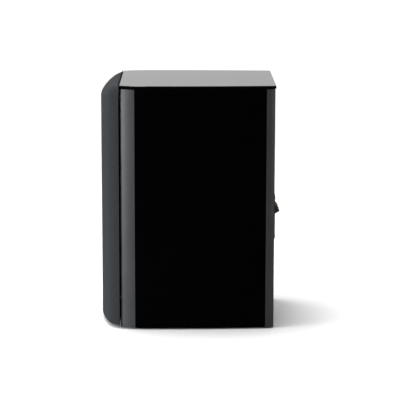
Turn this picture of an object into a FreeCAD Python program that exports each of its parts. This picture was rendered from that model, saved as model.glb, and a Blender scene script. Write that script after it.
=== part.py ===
import FreeCAD, Part
import math
import os
import re
import Sketcher

# Two-way bookshelf loudspeaker with a removable grille.
# X is the width, Y runs from front to rear (the grille faces -Y) and Z is up.
# The origin is on the floor, under the middle of the speaker's overall width and depth.

SIZES = {
    # cabinet
    "overall_height": 350.0, "cabinet_width": 200.0, "cabinet_depth": 218.5,
    "baffle_thick": 20.5, "rear_thick": 12.0, "side_wall": 16.0, "shelf_thick": 15.0,
    "side_bow": 2030.0, "widest_back": 57.0, "corner_back": 33.0, "corner_radius": 70.0,
    "baffle_edge": 2.5, "rear_taper": 4.0, "rear_corner": 24.0,
    "plate_thick": 4.0, "plate_gap": 1.2, "plate_overhang": 1.0, "plate_front": 0.5, "plate_edge": 0.7,
    "spacer_inset": 12.0, "foot_thick": 2.0, "foot_radius": 9.0, "foot_inset": 24.0,
    "brace_height": 200.0, "brace_thick": 12.0, "brace_margin": 14.0, "brace_round": 12.0,
    "foam_thick": 12.0, "foam_margin": 8.0, "soft_gap": 0.5,
    # grille
    "grille_reach": 30.0, "grille_gap": 2.0, "grille_side_inset": 5.5, "grille_shoulder": 32.8,
    "grille_corner": 38.0, "grille_roll": 53.4, "grille_roll_back": 11.2, "grille_rise": 1.4,
    "grille_crease": 15.0, "grille_bottom_edge": 4.6, "cloth_thick": 1.0, "grille_wall": 3.0,
    "grille_flange": 2.5, "window_side": 34.0, "window_round": 20.0, "window_bar": 10.0,
    "window_low": 25.0, "window_high": 32.0,
    "peg_stem": 2.4, "peg_collar": 3.5, "peg_length": 8.0, "peg_fit": 0.1, "peg_lift": 0.4,
    "socket_wall": 2.0, "socket_depth": 10.0,
    "low_peg_side": 26.0, "low_peg_height": 42.3, "high_peg_side": 60.0, "high_peg_drop": 22.0,
    # woofer
    "woofer_height": 121.5, "woofer_rim": 73.0, "woofer_opening": 60.0, "woofer_flange_thick": 3.0,
    "woofer_gasket_thick": 1.0, "woofer_trim_thick": 1.0, "rebate_gap": 0.4, "woofer_lip": 56.5,
    "surround_outer": 60.0, "surround_roll": 4.0, "surround_thick": 0.6, "surround_centre": 54.0,
    "surround_inner": 48.5, "cone_edge": 50.0, "cone_drop": 21.0, "cone_thick": 0.8, "cone_gap": 0.1,
    "coil_radius": 12.6, "former_thick": 0.3, "former_end": 57.0, "winding_thick": 0.6,
    "winding_height": 12.0, "cap_radius": 17.0, "cap_curve": 24.0, "cap_thick": 0.6,
    "basket_wall": 2.0, "basket_foot": 42.0, "basket_depth": 46.0, "basket_floor": 2.5,
    "basket_throat": 16.0, "ledge_depth": 34.5, "ledge_inner": 35.0, "ledge_thick": 1.5,
    "spoke_angle": 16.0, "spider_wave": 2.4, "spider_thick": 0.5, "spider_gap": 0.15,
    "gap_outer": 14.0, "pole_radius": 12.0, "motor_plate_radius": 38.0, "motor_plate_thick": 6.0,
    "magnet_radius": 42.0, "magnet_bore": 20.0, "magnet_thick": 15.0, "back_plate_radius": 40.0,
    "back_plate_thick": 6.0, "pole_vent": 4.0,
    "woofer_screw_circle": 66.5, "screw_head": 3.6, "screw_head_thick": 2.0, "screw_shank": 1.8,
    "screw_length": 15.0, "terminal_width": 16.0, "terminal_thick": 4.0,
    "blade_width": 2.8, "blade_thick": 0.8, "blade_length": 6.0,
    # tweeter
    "driver_gap": 7.0, "tweeter_rim": 52.0, "tweeter_opening": 40.0, "tweeter_plate_thick": 4.0,
    "tweeter_gasket_thick": 1.0, "guide_outer": 36.0, "guide_inner": 17.0, "guide_depth": 2.4,
    "dome_radius": 12.9, "dome_curve": 17.0, "dome_thick": 0.3, "dome_gap": 0.2,
    "dome_roll": 1.6, "dome_roll_thick": 0.4, "dome_lip": 20.0, "tweeter_coil_thick": 0.4,
    "tweeter_coil_height": 5.0, "glue_line": 0.15, "tweeter_gap_outer": 13.6, "tweeter_pole": 12.0,
    "tweeter_top_radius": 34.0, "tweeter_top_thick": 4.4, "tweeter_magnet_radius": 36.0,
    "tweeter_magnet_bore": 18.0, "tweeter_magnet_thick": 14.0, "tweeter_back_thick": 4.0,
    "tweeter_screw_circle": 46.0, "pole_drop": 1.4,
    # port
    "port_height": 258.5, "port_bore": 21.0, "port_wall": 3.0, "port_length": 115.0,
    "port_flange": 32.0, "port_flange_thick": 3.0, "port_flare": 8.0, "port_fit": 0.3,
    # terminals
    "post_tip_height": 155.5, "post_reach": 12.0, "post_tilt": 30.0, "knob_gap": 3.0,
    "knob_radius": 8.0, "knob_end": 21.0, "knob_chamfer": 1.0, "knob_groove": 0.6, "knob_grooves": 18,
    "washer_thick": 1.2, "bush_radius": 8.5, "bush_thick": 3.0, "stem_radius": 3.0, "stem_tip": 22.0,
    "stem_tail": 14.0, "banana_bore": 2.0, "banana_depth": 16.0, "running_clearance": 0.08,
    "nut_radius": 5.0, "nut_thick": 3.0, "tag_radius": 4.8, "tag_thick": 0.8, "tag_length": 10.0,
    "cup_width": 56.0, "cup_rise": 21.0, "cup_wall": 2.5, "cup_rim": 9.0, "cup_rim_thick": 3.0,
    "cup_gasket_thick": 0.5, "cup_fit": 0.5, "cup_screw_inset": 4.5, "cup_screw_sink": 1.6,
    "small_screw_head": 2.9, "small_screw_length": 9.0,
    # crossover
    "board_width": 100.0, "board_depth": 105.0, "board_thick": 1.6, "board_back": 92.0,
    "standoff_height": 8.0, "standoff_radius": 3.0, "standoff_inset": 7.0,
    "coil_outer": 17.0, "coil_inner": 7.0, "coil_height": 18.0, "coil_core": 6.5,
    "capacitor_radius": 8.5, "capacitor_length": 36.0, "resistor_length": 44.0,
    "resistor_width": 9.5, "resistor_height": 9.0, "part_lift": 0.4,
    # internal wiring
    "lead_radius": 1.1, "lead_pitch": 5.0,
}

doc = FreeCAD.newDocument("bookshelf_speaker")
sheet = doc.addObject("Spreadsheet::Sheet", "Sizes")
for row, (alias, number) in enumerate(SIZES.items(), start=1):
    sheet.set("A%d" % row, alias)
    sheet.set("B%d" % row, str(number))
    sheet.setAlias("B%d" % row, alias)
doc.recompute()

ALIASES = re.compile(r"\b(" + "|".join(SIZES) + r")\b")
PIECES = []
SMALL_SCREWS = []

# Expressions that several pieces share.
FRONT = "((grille_reach - cabinet_depth - post_reach)/2)"
REAR = f"({FRONT} + cabinet_depth)"
HALF = "(cabinet_width/2)"
CABINET_TOP = "(overall_height - plate_thick - plate_gap)"
INNER_HALF = f"({HALF} - side_wall)"
INNER_FRONT = f"({FRONT} + baffle_thick)"
INNER_REAR = f"({REAR} - rear_thick)"
FLOOR_TOP = "(foot_thick + shelf_thick)"
CEILING = f"({CABINET_TOP} - shelf_thick)"
TWEETER_HEIGHT = "(woofer_height + woofer_rim + driver_gap + tweeter_rim)"
POST_SPACING = "(2*knob_radius + knob_gap)"

# How a piece's own Z axis is turned when it is put in place.
UPRIGHT = FreeCAD.Rotation()
FACING_FRONT = FreeCAD.Rotation(FreeCAD.Vector(1, 0, 0), 90)
FACING_REAR = FreeCAD.Rotation(FreeCAD.Vector(-1, 0, 0), 90)
FACING_SIDE = FreeCAD.Rotation(FreeCAD.Vector(0, 1, 0), 90)


def named(expression):
    """The expression with every size's name pointing at its cell."""
    return ALIASES.sub(r"Sizes.\1", str(expression))


def value(expression):
    """The expression's present number."""
    return float(sheet.evalExpression(named(expression)))


def bind(item, prop, expression):
    """Tie one property of an object to the sheet."""
    item.setExpression(prop, named(expression))


def piece(item, name):
    """Mark an object as one finished sub-part; its label names its file."""
    item.Label = name
    PIECES.append(item)
    return item


def put(item, place):
    """Place an object at x, y, z with its own Z axis turned as given."""
    turned_to = place[3] if len(place) > 3 else UPRIGHT
    item.Placement = FreeCAD.Placement(FreeCAD.Vector(), turned_to)
    for axis, expression in zip("xyz", place):
        bind(item, "Placement.Base." + axis, expression)
    return item


def box(name, across, along, up):
    """A block between two values on each axis."""
    item = doc.addObject("Part::Box", name)
    for prop, axis, (low, high) in (("Length", "x", across), ("Width", "y", along), ("Height", "z", up)):
        bind(item, prop, f"({high}) - ({low})")
        bind(item, "Placement.Base." + axis, low)
    return item


def rod(name, radius, length, place):
    """A plain cylinder that starts at its place and runs along its own Z axis."""
    item = doc.addObject("Part::Cylinder", name)
    bind(item, "Radius", radius)
    bind(item, "Height", length)
    return put(item, place)


def cut(name, base, *tools):
    """The base without the tools."""
    tool = tools[0] if len(tools) == 1 else fuse(name + "_tools", *tools)
    item = doc.addObject("Part::Cut", name)
    item.Base = base
    item.Tool = tool
    return item


def fuse(name, *items):
    """Several touching objects as one solid."""
    item = doc.addObject("Part::MultiFuse", name)
    item.Shapes = list(items)
    return item


def group(name, items):
    """Several separate solids that share one node."""
    item = doc.addObject("Part::Compound", name)
    item.Links = list(items)
    return item


def draw(sketch, outline):
    """Draw one closed outline with every point tied to the sheet.

    A point is (x, y), reached by a straight line from the point before it, or
    (x, y, radius, side), reached by an arc whose centre is on that side of the path.
    """
    spots = [FreeCAD.Vector(value(point[0]), value(point[1]), 0) for point in outline]
    arrivals = []
    for number, point in enumerate(outline):
        begin, finish = spots[number - 1], spots[number]
        if len(point) == 2:
            index = sketch.addGeometry(Part.LineSegment(begin, finish))
            arrivals.append((index, 1, 2))
            continue
        radius = value(point[2])
        half = (finish - begin) * 0.5
        inward = FreeCAD.Vector(-half.y, half.x, 0).normalize()
        if point[3] == "right":
            inward = -inward
        centre = begin + half + inward * math.sqrt(max(radius ** 2 - half.Length ** 2, 0))
        first, last = (begin, finish) if point[3] == "left" else (finish, begin)
        start = math.atan2(first.y - centre.y, first.x - centre.x)
        stop = math.atan2(last.y - centre.y, last.x - centre.x)
        if stop <= start:
            stop += 2 * math.pi
        circle = Part.Circle(centre, FreeCAD.Vector(0, 0, 1), radius)
        index = sketch.addGeometry(Part.ArcOfCircle(circle, start, stop))
        held = sketch.addConstraint(Sketcher.Constraint("Radius", index, radius))
        bind(sketch, f"Constraints[{held}]", point[2])
        arrivals.append((index, 1, 2) if point[3] == "left" else (index, 2, 1))
    for number, point in enumerate(outline):
        index, _, end = arrivals[number]
        following, start, _ = arrivals[(number + 1) % len(outline)]
        sketch.addConstraint(Sketcher.Constraint("Coincident", index, end, following, start))
        for kind, expression in (("DistanceX", point[0]), ("DistanceY", point[1])):
            held = sketch.addConstraint(Sketcher.Constraint(kind, -1, 1, index, end, value(expression)))
            bind(sketch, f"Constraints[{held}]", expression)


def draw_circle(sketch, across, up, radius):
    """Draw one circle with its centre and radius tied to the sheet."""
    centre = FreeCAD.Vector(value(across), value(up), 0)
    index = sketch.addGeometry(Part.Circle(centre, FreeCAD.Vector(0, 0, 1), value(radius)))
    wanted = (
        (Sketcher.Constraint("Radius", index, value(radius)), radius),
        (Sketcher.Constraint("DistanceX", -1, 1, index, 3, centre.x), across),
        (Sketcher.Constraint("DistanceY", -1, 1, index, 3, centre.y), up),
    )
    for constraint, expression in wanted:
        held = sketch.addConstraint(constraint)
        bind(sketch, f"Constraints[{held}]", expression)


def sketch_on(body, role, outlines=(), circles=(), offset="0"):
    """A fully tied sketch on one of the body's own planes."""
    plane = [feature for feature in body.Origin.OriginFeatures if feature.Role == role][0]
    sketch = body.newObject("Sketcher::SketchObject", body.Name + "_sketch")
    sketch.AttachmentSupport = [(plane, "")]
    sketch.MapMode = "FlatFace"
    bind(sketch, "AttachmentOffset.Base.z", offset)
    for outline in outlines:
        draw(sketch, outline)
    for circle in circles:
        draw_circle(sketch, *circle)
    return sketch


def turned(name, outline, place):
    """A body turned about its own Z axis from an outline of radius and height."""
    body = doc.addObject("PartDesign::Body", name)
    turn = body.newObject("PartDesign::Revolution", name + "_turn")
    turn.Profile = sketch_on(body, "XZ_Plane", [outline])
    turn.ReferenceAxis = (turn.Profile[0], ["V_Axis"])
    body.Tip = turn
    return put(body, place)


def ring(name, inner, outer, low, high, place):
    """A flat ring or tube between two heights."""
    return turned(name, [(inner, low), (outer, low), (outer, high), (inner, high)], place)


def padded(name, role, outlines, start, length, place=("0", "0", "0")):
    """A body padded from outlines on one of its planes."""
    body = doc.addObject("PartDesign::Body", name)
    pad = body.newObject("PartDesign::Pad", name + "_pad")
    pad.Profile = sketch_on(body, role, outlines, offset=start)
    bind(pad, "Length", length)
    body.Tip = pad
    return put(body, place)


def pocket(body, role, length, outlines=(), circles=(), offset="0", both_ways=False):
    """Cut outlines or circles out of a body, and make sure that the cut bites."""
    doc.recompute()
    before = body.Tip.Shape.Volume
    feature = body.newObject("PartDesign::Pocket", body.Name + "_pocket")
    feature.Profile = sketch_on(body, role, outlines, circles, offset)
    if both_ways:
        feature.SideType = "Symmetric"
    bind(feature, "Length", length)
    body.Tip = feature
    doc.recompute()
    if body.Tip.Shape.Volume > before - 0.01:
        raise RuntimeError(f"a pocket in {body.Label} cuts nothing")
    return feature


def round_edges(body, radius, chosen):
    """Fillet the edges of the body's latest feature that the test picks."""
    doc.recompute()
    base = body.Tip
    names = [f"Edge{i}" for i, edge in enumerate(base.Shape.Edges, start=1) if chosen(edge)]
    fillet = body.newObject("PartDesign::Fillet", body.Name + "_fillet")
    fillet.Base = (base, names)
    bind(fillet, "Radius", radius)
    body.Tip = fillet
    return fillet


def rounded_rectangle(left, right, low, high, radius):
    """A rectangle with four equal round corners, travelled anticlockwise."""
    return [
        (f"({left}) + {radius}", low), (f"({right}) - {radius}", low),
        (right, f"({low}) + {radius}", radius, "left"), (right, f"({high}) - {radius}"),
        (f"({right}) - {radius}", high, radius, "left"), (f"({left}) + {radius}", high),
        (left, f"({high}) - {radius}", radius, "left"), (left, f"({low}) + {radius}"),
    ][1:] + [(f"({left}) + {radius}", low, radius, "left")]


def mirrored(outline):
    """Close a right-hand half outline with its mirror image across the middle."""
    left = []
    for number in range(len(outline) - 1, -1, -1):
        across, along = outline[number][0], outline[number][1]
        arrival = outline[number + 1][2:] if number + 1 < len(outline) else ()
        left.append((f"-({across})", along) + tuple(arrival))
    return list(outline) + left


def screw_spots(radius):
    """Four places on a circle, between the upright and the level."""
    return [(f"{radius}*cos({turn})", f"{radius}*sin({turn})") for turn in (45, 135, 225, 315)]


def screw(name, place, head, length):
    """A round-headed screw: the head stands on its place and the shank runs down from it."""
    top = turned(name, [
        ("0", f"-{length}"), ("screw_shank", f"-{length} + screw_shank"), ("screw_shank", "0"),
        (head, "0"), (head, "screw_head_thick*0.4"), (f"{head}*0.6", "screw_head_thick"),
        ("0", "screw_head_thick"),
    ], place)
    return top


def bow(back):
    """Half the cabinet's width at a depth behind the baffle's face: the sides bow gently."""
    return f"({HALF} - side_bow + sqrt(side_bow^2 - (({back}) - widest_back)^2))"


def corner(back):
    """The same on the round front corners."""
    centre = f"{bow('corner_back')} - corner_radius"
    return f"({centre} + sqrt(corner_radius^2 - (corner_back - ({back}))^2))"


# ---------------------------------------------------------------- cabinet

def front_baffle():
    """The satin front panel with its round vertical corners, driver rebates and grille sockets' holes."""
    outline = mirrored([(corner("0"), "0"), (corner("baffle_thick"), "baffle_thick", "corner_radius", "left")])
    body = padded("front_baffle", "XY_Plane", [outline], "foot_thick",
                  f"{CABINET_TOP} - foot_thick", ("0", FRONT, "0"))
    face = value(corner("0"))
    round_edges(body, "baffle_edge", lambda edge: (
        abs(edge.BoundBox.YMax) < 0.01 and abs(abs(edge.BoundBox.XMax) - face) < 0.01
        and edge.BoundBox.ZLength > 1))
    rebates = (
        ("woofer_height", "woofer_rim", "woofer_opening",
         "woofer_gasket_thick + woofer_flange_thick + woofer_trim_thick"),
        (TWEETER_HEIGHT, "tweeter_rim", "tweeter_opening", "tweeter_gasket_thick + tweeter_plate_thick"),
    )
    for height, rim, opening, depth in rebates:
        pocket(body, "XZ_Plane", depth, circles=[("0", height, f"{rim} + rebate_gap")])
        pocket(body, "XZ_Plane", "baffle_thick + 1", circles=[("0", height, opening)])
    holes = [(x, z, "peg_stem + peg_fit + socket_wall") for x, z in PEG_SPOTS]
    pocket(body, "XZ_Plane", "socket_depth", circles=holes)
    pilots = [(x, f"woofer_height + {z}", "screw_shank") for x, z in screw_spots("woofer_screw_circle")]
    pilots += [(x, f"{TWEETER_HEIGHT} + {z}", "screw_shank") for x, z in screw_spots("tweeter_screw_circle")]
    pocket(body, "XZ_Plane", "screw_length + 2", circles=pilots)
    return piece(body, "front_baffle")


def side_panel(name, hand):
    """A gloss side panel: bowed outside and flat inside."""
    outline = [
        (corner("baffle_thick"), "baffle_thick"),
        (bow("corner_back"), "corner_back", "corner_radius", "left"),
        (bow("cabinet_depth - rear_thick"), "cabinet_depth - rear_thick", "side_bow", "left"),
        (f"{HALF} - side_wall", "cabinet_depth - rear_thick"),
        (f"{HALF} - side_wall", "baffle_thick"),
    ]
    if hand < 0:
        outline = [(f"-({point[0]})",) + tuple(point[1:]) for point in outline]
        outline = [point[:3] + ("right",) if len(point) > 2 else point for point in outline]
    body = padded(name, "XY_Plane", [outline], "foot_thick", f"{CABINET_TOP} - foot_thick",
                  ("0", FRONT, "0"))
    return piece(body, name)


def rear_panel():
    """The satin rear panel, drawn in at its sides, with the port hole and the terminal cut-out."""
    inner, outer = bow("cabinet_depth - rear_thick"), bow("cabinet_depth - rear_thick") + " - rear_taper"
    outline = mirrored([(inner, "0"), (outer, "rear_thick", "rear_corner", "left")])
    body = padded("rear_panel", "XY_Plane", [outline], "foot_thick",
                  f"{CABINET_TOP} - foot_thick", ("0", INNER_REAR, "0"))
    pocket(body, "XZ_Plane", "rear_thick*2 + 2", both_ways=True, offset="0",
           circles=[("0", "port_height", "port_bore + port_wall + port_fit")])
    low = f"{CUP_Z} - cup_fit - ({CUP_DEPTH})/tan(post_tilt)"
    high = f"{CUP_Z} + cup_rise + cup_wall + cup_fit"
    side = "(cup_width/2 + cup_wall + cup_fit)"
    pocket(body, "XZ_Plane", "rear_thick*2 + 2", both_ways=True,
           outlines=[[(f"-{side}", low), (side, low), (side, high), (f"-{side}", high)]])
    depth = "(small_screw_length + cup_screw_sink - cup_rim_thick - cup_gasket_thick + 1)"
    pocket(body, "XZ_Plane", f"{depth} + 1", offset=f"{depth} - rear_thick",
           circles=[(x, z, "screw_shank") for x, z in cup_corners()])
    return piece(body, "rear_panel")


def shelf(name, low, high):
    """A plain inner panel between the side panels."""
    return piece(box(name, (f"-{INNER_HALF}", INNER_HALF), (INNER_FRONT, INNER_REAR), (low, high)), name)


def shelf_brace():
    """A shelf across the middle that stiffens the cabinet, with two air windows."""
    outline = [(f"-{INNER_HALF}", INNER_FRONT), (INNER_HALF, INNER_FRONT),
               (INNER_HALF, INNER_REAR), (f"-{INNER_HALF}", INNER_REAR)]
    body = padded("shelf_brace", "XY_Plane", [outline], "brace_height - brace_thick/2", "brace_thick")
    near, far = f"{INNER_FRONT} + brace_margin", f"{INNER_REAR} - brace_margin"
    window = rounded_rectangle("brace_margin/2", f"{INNER_HALF} - brace_margin", near, far, "brace_round")
    other = rounded_rectangle(f"brace_margin - {INNER_HALF}", "-brace_margin/2", near, far, "brace_round")
    pocket(body, "XY_Plane", "brace_thick*2", [window, other], offset="brace_height", both_ways=True)
    return piece(body, "shelf_brace")


def top_plate():
    """The polished black glass plate on top, with round front corners."""
    centre = f"{bow('corner_back')} - corner_radius"
    radius = "corner_radius + plate_overhang"
    front = f"{centre} + sqrt(({radius})^2 - (corner_back + plate_front)^2)"
    outline = mirrored([
        (front, "-plate_front"),
        (f"{bow('corner_back')} + plate_overhang", "corner_back", radius, "left"),
        (f"{bow('cabinet_depth')} + plate_overhang", "cabinet_depth + plate_overhang",
         "side_bow + plate_overhang", "left"),
    ])
    body = padded("top_plate", "XY_Plane", [outline], "overall_height - plate_thick", "plate_thick",
                  ("0", FRONT, "0"))
    side, edge = value(front), value("-plate_front")
    round_edges(body, "plate_edge*4", lambda line: (
        line.BoundBox.ZLength > 1 and abs(line.BoundBox.YMax - edge) < 0.01
        and abs(abs(line.BoundBox.XMax) - side) < 0.01))
    top = value("overall_height")
    round_edges(body, "plate_edge", lambda line: line.BoundBox.ZMin > top - 0.01)
    return piece(body, "top_plate")


def cabinet():
    front_baffle()
    side_panel("left_side_panel", -1)
    side_panel("right_side_panel", 1)
    rear_panel()
    shelf("bottom_panel", "foot_thick", FLOOR_TOP)
    shelf("top_panel", CEILING, CABINET_TOP)
    shelf_brace()
    top_plate()
    inset = f"({HALF} - spacer_inset)"
    piece(box("plate_spacer", (f"-{inset}", inset), (f"{FRONT} + spacer_inset", f"{REAR} - spacer_inset"),
              (CABINET_TOP, f"{CABINET_TOP} + plate_gap")), "plate_spacer")
    feet = []
    for side in ("-", ""):
        for end in (f"{FRONT} + foot_inset", f"{REAR} - foot_inset"):
            spot = (f"{side}({HALF} - foot_inset)", end, "0")
            feet.append(rod("foot", "foot_radius", "foot_thick", spot))
    piece(group("rubber_feet", feet), "rubber_feet")
    sheets = []
    outer, inner = f"({INNER_HALF} - soft_gap)", f"({INNER_HALF} - soft_gap - foam_thick)"
    along = (f"{INNER_FRONT} + foam_margin", f"{INNER_REAR} - foam_margin")
    brace_low, brace_high = "brace_height - brace_thick/2", "brace_height + brace_thick/2"
    for low, high in ((FLOOR_TOP, brace_low), (brace_high, CEILING)):
        up = (f"{low} + foam_margin", f"{high} - foam_margin")
        sheets.append(box("foam", (inner, outer), along, up))
        sheets.append(box("foam", (f"-{outer}", f"-{inner}"), along, up))
    piece(group("damping_foam", sheets), "damping_foam")


# ---------------------------------------------------------------- grille

PEG_SPOTS = (
    (f"-({HALF} - low_peg_side)", "low_peg_height"), (f"{HALF} - low_peg_side", "low_peg_height"),
    (f"-({HALF} - high_peg_side)", "overall_height - high_peg_drop"),
    (f"{HALF} - high_peg_side", "overall_height - high_peg_drop"),
)


def grille_form(name, inset, back):
    """The grille's rounded outer form, drawn in all over by an inset, down to its back plane.

    In plan a large arc bows across the front and meets a smaller arc at each corner.
    From the side the top rolls forward and down, and the crease where it meets the front is rounded.
    """
    corner_x = f"({HALF} - grille_side_inset - grille_shoulder)"
    corner_y = "(sqrt(grille_corner^2 - grille_shoulder^2) - grille_gap)"
    drop = f"({corner_y} + grille_reach)"
    front_radius = f"(({corner_x}^2 + {drop}^2 - grille_corner^2)/(2*({drop} - grille_corner)))"
    front_y = f"({front_radius} - grille_reach)"
    apart = f"({front_radius} - grille_corner)"
    join_x = f"(({front_radius} - {inset})*{corner_x}/{apart})"
    join_y = f"({front_y} + ({front_radius} - {inset})*({corner_y} - {front_y})/{apart})"
    corner_arc, front_arc = f"grille_corner - {inset}", f"{front_radius} - {inset}"
    side_x = f"({corner_x} + sqrt(({corner_arc})^2 - (({corner_y}) + ({back}))^2))"
    plan = [
        (f"-{side_x}", f"-({back})"), (f"-{join_x}", join_y, corner_arc, "left"),
        (join_x, join_y, front_arc, "left"), (side_x, f"-({back})", corner_arc, "left"),
    ]
    low = f"foot_thick + grille_rise + {inset}"
    body = padded(name, "XY_Plane", [plan], low, f"overall_height - ({low})", ("0", FRONT, "0"))

    roll_z = "(overall_height - sqrt(grille_roll^2 - (grille_gap + grille_roll_back)^2))"

    def roll(reach):
        return f"({roll_z} + sqrt((grille_roll - {inset})^2 - (({reach}) + grille_roll_back)^2))"

    nose, heel, above = "grille_reach + 5", "grille_gap - 3", "overall_height + 5"
    over = [(f"-({nose})", roll(nose)), (f"-({heel})", roll(heel), f"grille_roll - {inset}", "right"),
            (f"-({heel})", above), (f"-({nose})", above)]
    pocket(body, "YZ_Plane", "cabinet_width + 10", [over], both_ways=True)

    roll_low, rear, bottom = value(roll(f"grille_reach - {inset}")), value(f"-({back})"), value(low)
    round_edges(body, f"grille_crease - {inset}", lambda edge: (
        edge.BoundBox.ZMin > roll_low - 0.5 and edge.BoundBox.YMin < rear - 0.5))
    round_edges(body, f"grille_bottom_edge - {inset}", lambda edge: (
        edge.BoundBox.ZMax < bottom + 0.01 and edge.BoundBox.YMin < rear - 0.5))
    return body


def grille():
    skin = grille_form("skin_form", "0", "grille_gap")
    core = grille_form("core_form", "cloth_thick", "grille_gap - 1")
    piece(cut("grille_cloth", skin, core), "grille_cloth")

    face = grille_form("face_form", "cloth_thick", "grille_gap")
    hollow = grille_form("hollow_form", "(cloth_thick + grille_wall)", "grille_gap - 1")
    shell = cut("grille_shell", face, hollow)
    band = doc.addObject("Part::Common", "grille_band")
    band.Base = face
    band.Tool = box("band_slab", (f"-{HALF}", HALF),
                    (f"{FRONT} - grille_gap - grille_flange", f"{FRONT} - grille_gap"),
                    ("0", "overall_height"))
    split = "woofer_height + woofer_rim + driver_gap/2"
    side = f"({HALF} - window_side)"
    low_window = rounded_rectangle(f"-{side}", side, "foot_thick + window_low",
                                   f"{split} - window_bar/2", "window_round")
    high_window = rounded_rectangle(f"-{side}", side, f"{split} + window_bar/2",
                                    "overall_height - window_high", "window_round")
    cutter = padded("grille_windows", "XZ_Plane", [low_window, high_window], "-5",
                    "grille_reach + 20", ("0", FRONT, "0"))
    piece(cut("grille_frame", fuse("grille_solid", shell, band), cutter), "grille_frame")

    pegs, sockets = [], []
    for x, z in PEG_SPOTS:
        collar = rod("collar", "peg_collar", "grille_gap - peg_lift",
                     (x, f"{FRONT} - peg_lift", z, FACING_FRONT))
        stem = rod("stem", "peg_stem", "peg_length + grille_gap", (x, f"{FRONT} - grille_gap", z, FACING_REAR))
        pegs.append(fuse("peg", collar, stem))
        sockets.append(ring("socket", "peg_stem + peg_fit", "peg_stem + peg_fit + socket_wall",
                            "0", "socket_depth", (x, FRONT, z, FACING_REAR)))
    piece(group("grille_pegs", pegs), "grille_pegs")
    piece(group("grille_sockets", sockets), "grille_sockets")


# ---------------------------------------------------------------- woofer

WOOFER = ("0", FRONT, "woofer_height", FACING_FRONT)
FLANGE_TOP = "(-woofer_trim_thick)"
FLANGE_LOW = "(-woofer_trim_thick - woofer_flange_thick)"
CONE_TOP = f"({FLANGE_TOP} - cone_gap)"
COIL_OUTER = "(coil_radius + former_thick)"
NECK = f"({CONE_TOP} - cone_drop)"
CONE_FLAT = "(cone_edge - 2)"
MOTOR_TOP = "(-basket_depth)"
MOTOR_LOW = f"({MOTOR_TOP} - motor_plate_thick)"
MAGNET_LOW = f"({MOTOR_LOW} - magnet_thick)"


def half_roll(name, centre, outer_lip, inner_lip, roll, thick, base, place):
    """A half-roll suspension ring: a flat lip, an arch and another flat lip."""
    inside = f"({roll} - {thick})"
    outline = [
        (outer_lip, base), (outer_lip, f"{base} + {thick}"), (f"{centre} + {roll}", f"{base} + {thick}"),
        (centre, f"{base} + {thick} + {roll}", roll, "left"),
        (f"{centre} - {roll}", f"{base} + {thick}", roll, "left"),
        (inner_lip, f"{base} + {thick}"), (inner_lip, base), (f"{centre} - {inside}", base),
        (centre, f"{base} + {inside}", inside, "right"), (f"{centre} + {inside}", base, inside, "right"),
    ]
    return piece(turned(name, outline, place), name)


def holed_ring(name, inner, outer, low, high, circle, place):
    """A gasket with four screw holes."""
    body = ring(name, inner, outer, low, high, place)
    pocket(body, "XY_Plane", f"({high}) - ({low}) + 1", offset=f"{high} + 0.5",
           circles=[(x, y, "screw_shank + 0.2") for x, y in screw_spots(circle)])
    return piece(body, name)


def woofer_basket():
    """The cast frame: a flange, a conical wall with six spokes, a spider ledge and a motor seat."""
    inner_foot = "(basket_foot - basket_wall)"
    outline = [
        ("woofer_rim", FLANGE_LOW), ("woofer_rim", FLANGE_TOP), ("woofer_lip", FLANGE_TOP),
        ("woofer_lip", FLANGE_LOW), (inner_foot, "-ledge_depth"), ("ledge_inner", "-ledge_depth"),
        ("ledge_inner", "-ledge_depth - ledge_thick"),
        (f"{inner_foot} - 1", "-ledge_depth - ledge_thick"),
        (f"{inner_foot} - 1", f"{MOTOR_TOP} + basket_floor"),
        ("basket_throat", f"{MOTOR_TOP} + basket_floor"), ("basket_throat", MOTOR_TOP),
        ("basket_foot", MOTOR_TOP), ("basket_foot", "-ledge_depth"),
        ("woofer_lip + basket_wall", FLANGE_LOW),
    ]
    body = turned("woofer_basket", outline, WOOFER)
    near, far, half_turn = "(basket_foot - 3)", "(woofer_opening + 1)", "(30 - spoke_angle/2)"
    reach = (f"{near}*cos({half_turn})", f"{near}*sin({half_turn})")
    wide = (f"{far}*cos({half_turn})", f"{far}*sin({half_turn})")
    window = [(reach[0], f"-{reach[1]}"), (wide[0], f"-{wide[1]}"), wide + (far, "left"),
              reach, (reach[0], f"-{reach[1]}", near, "right")][1:]
    opening = pocket(body, "XY_Plane", f"ledge_depth + {FLANGE_LOW} - 3", [window],
                     offset=f"{FLANGE_LOW} - 1.5")
    pattern = body.newObject("PartDesign::PolarPattern", "basket_windows")
    pattern.Originals = [opening]
    pattern.Axis = (opening.Profile[0], ["N_Axis"])
    pattern.Angle = 360
    pattern.Occurrences = 6
    body.Tip = pattern
    pocket(body, "XY_Plane", "woofer_flange_thick + 1", offset=f"{FLANGE_TOP} + 0.5",
           circles=[(x, y, "screw_shank + 0.2") for x, y in screw_spots("woofer_screw_circle")])
    return piece(body, "woofer_basket")


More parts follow.
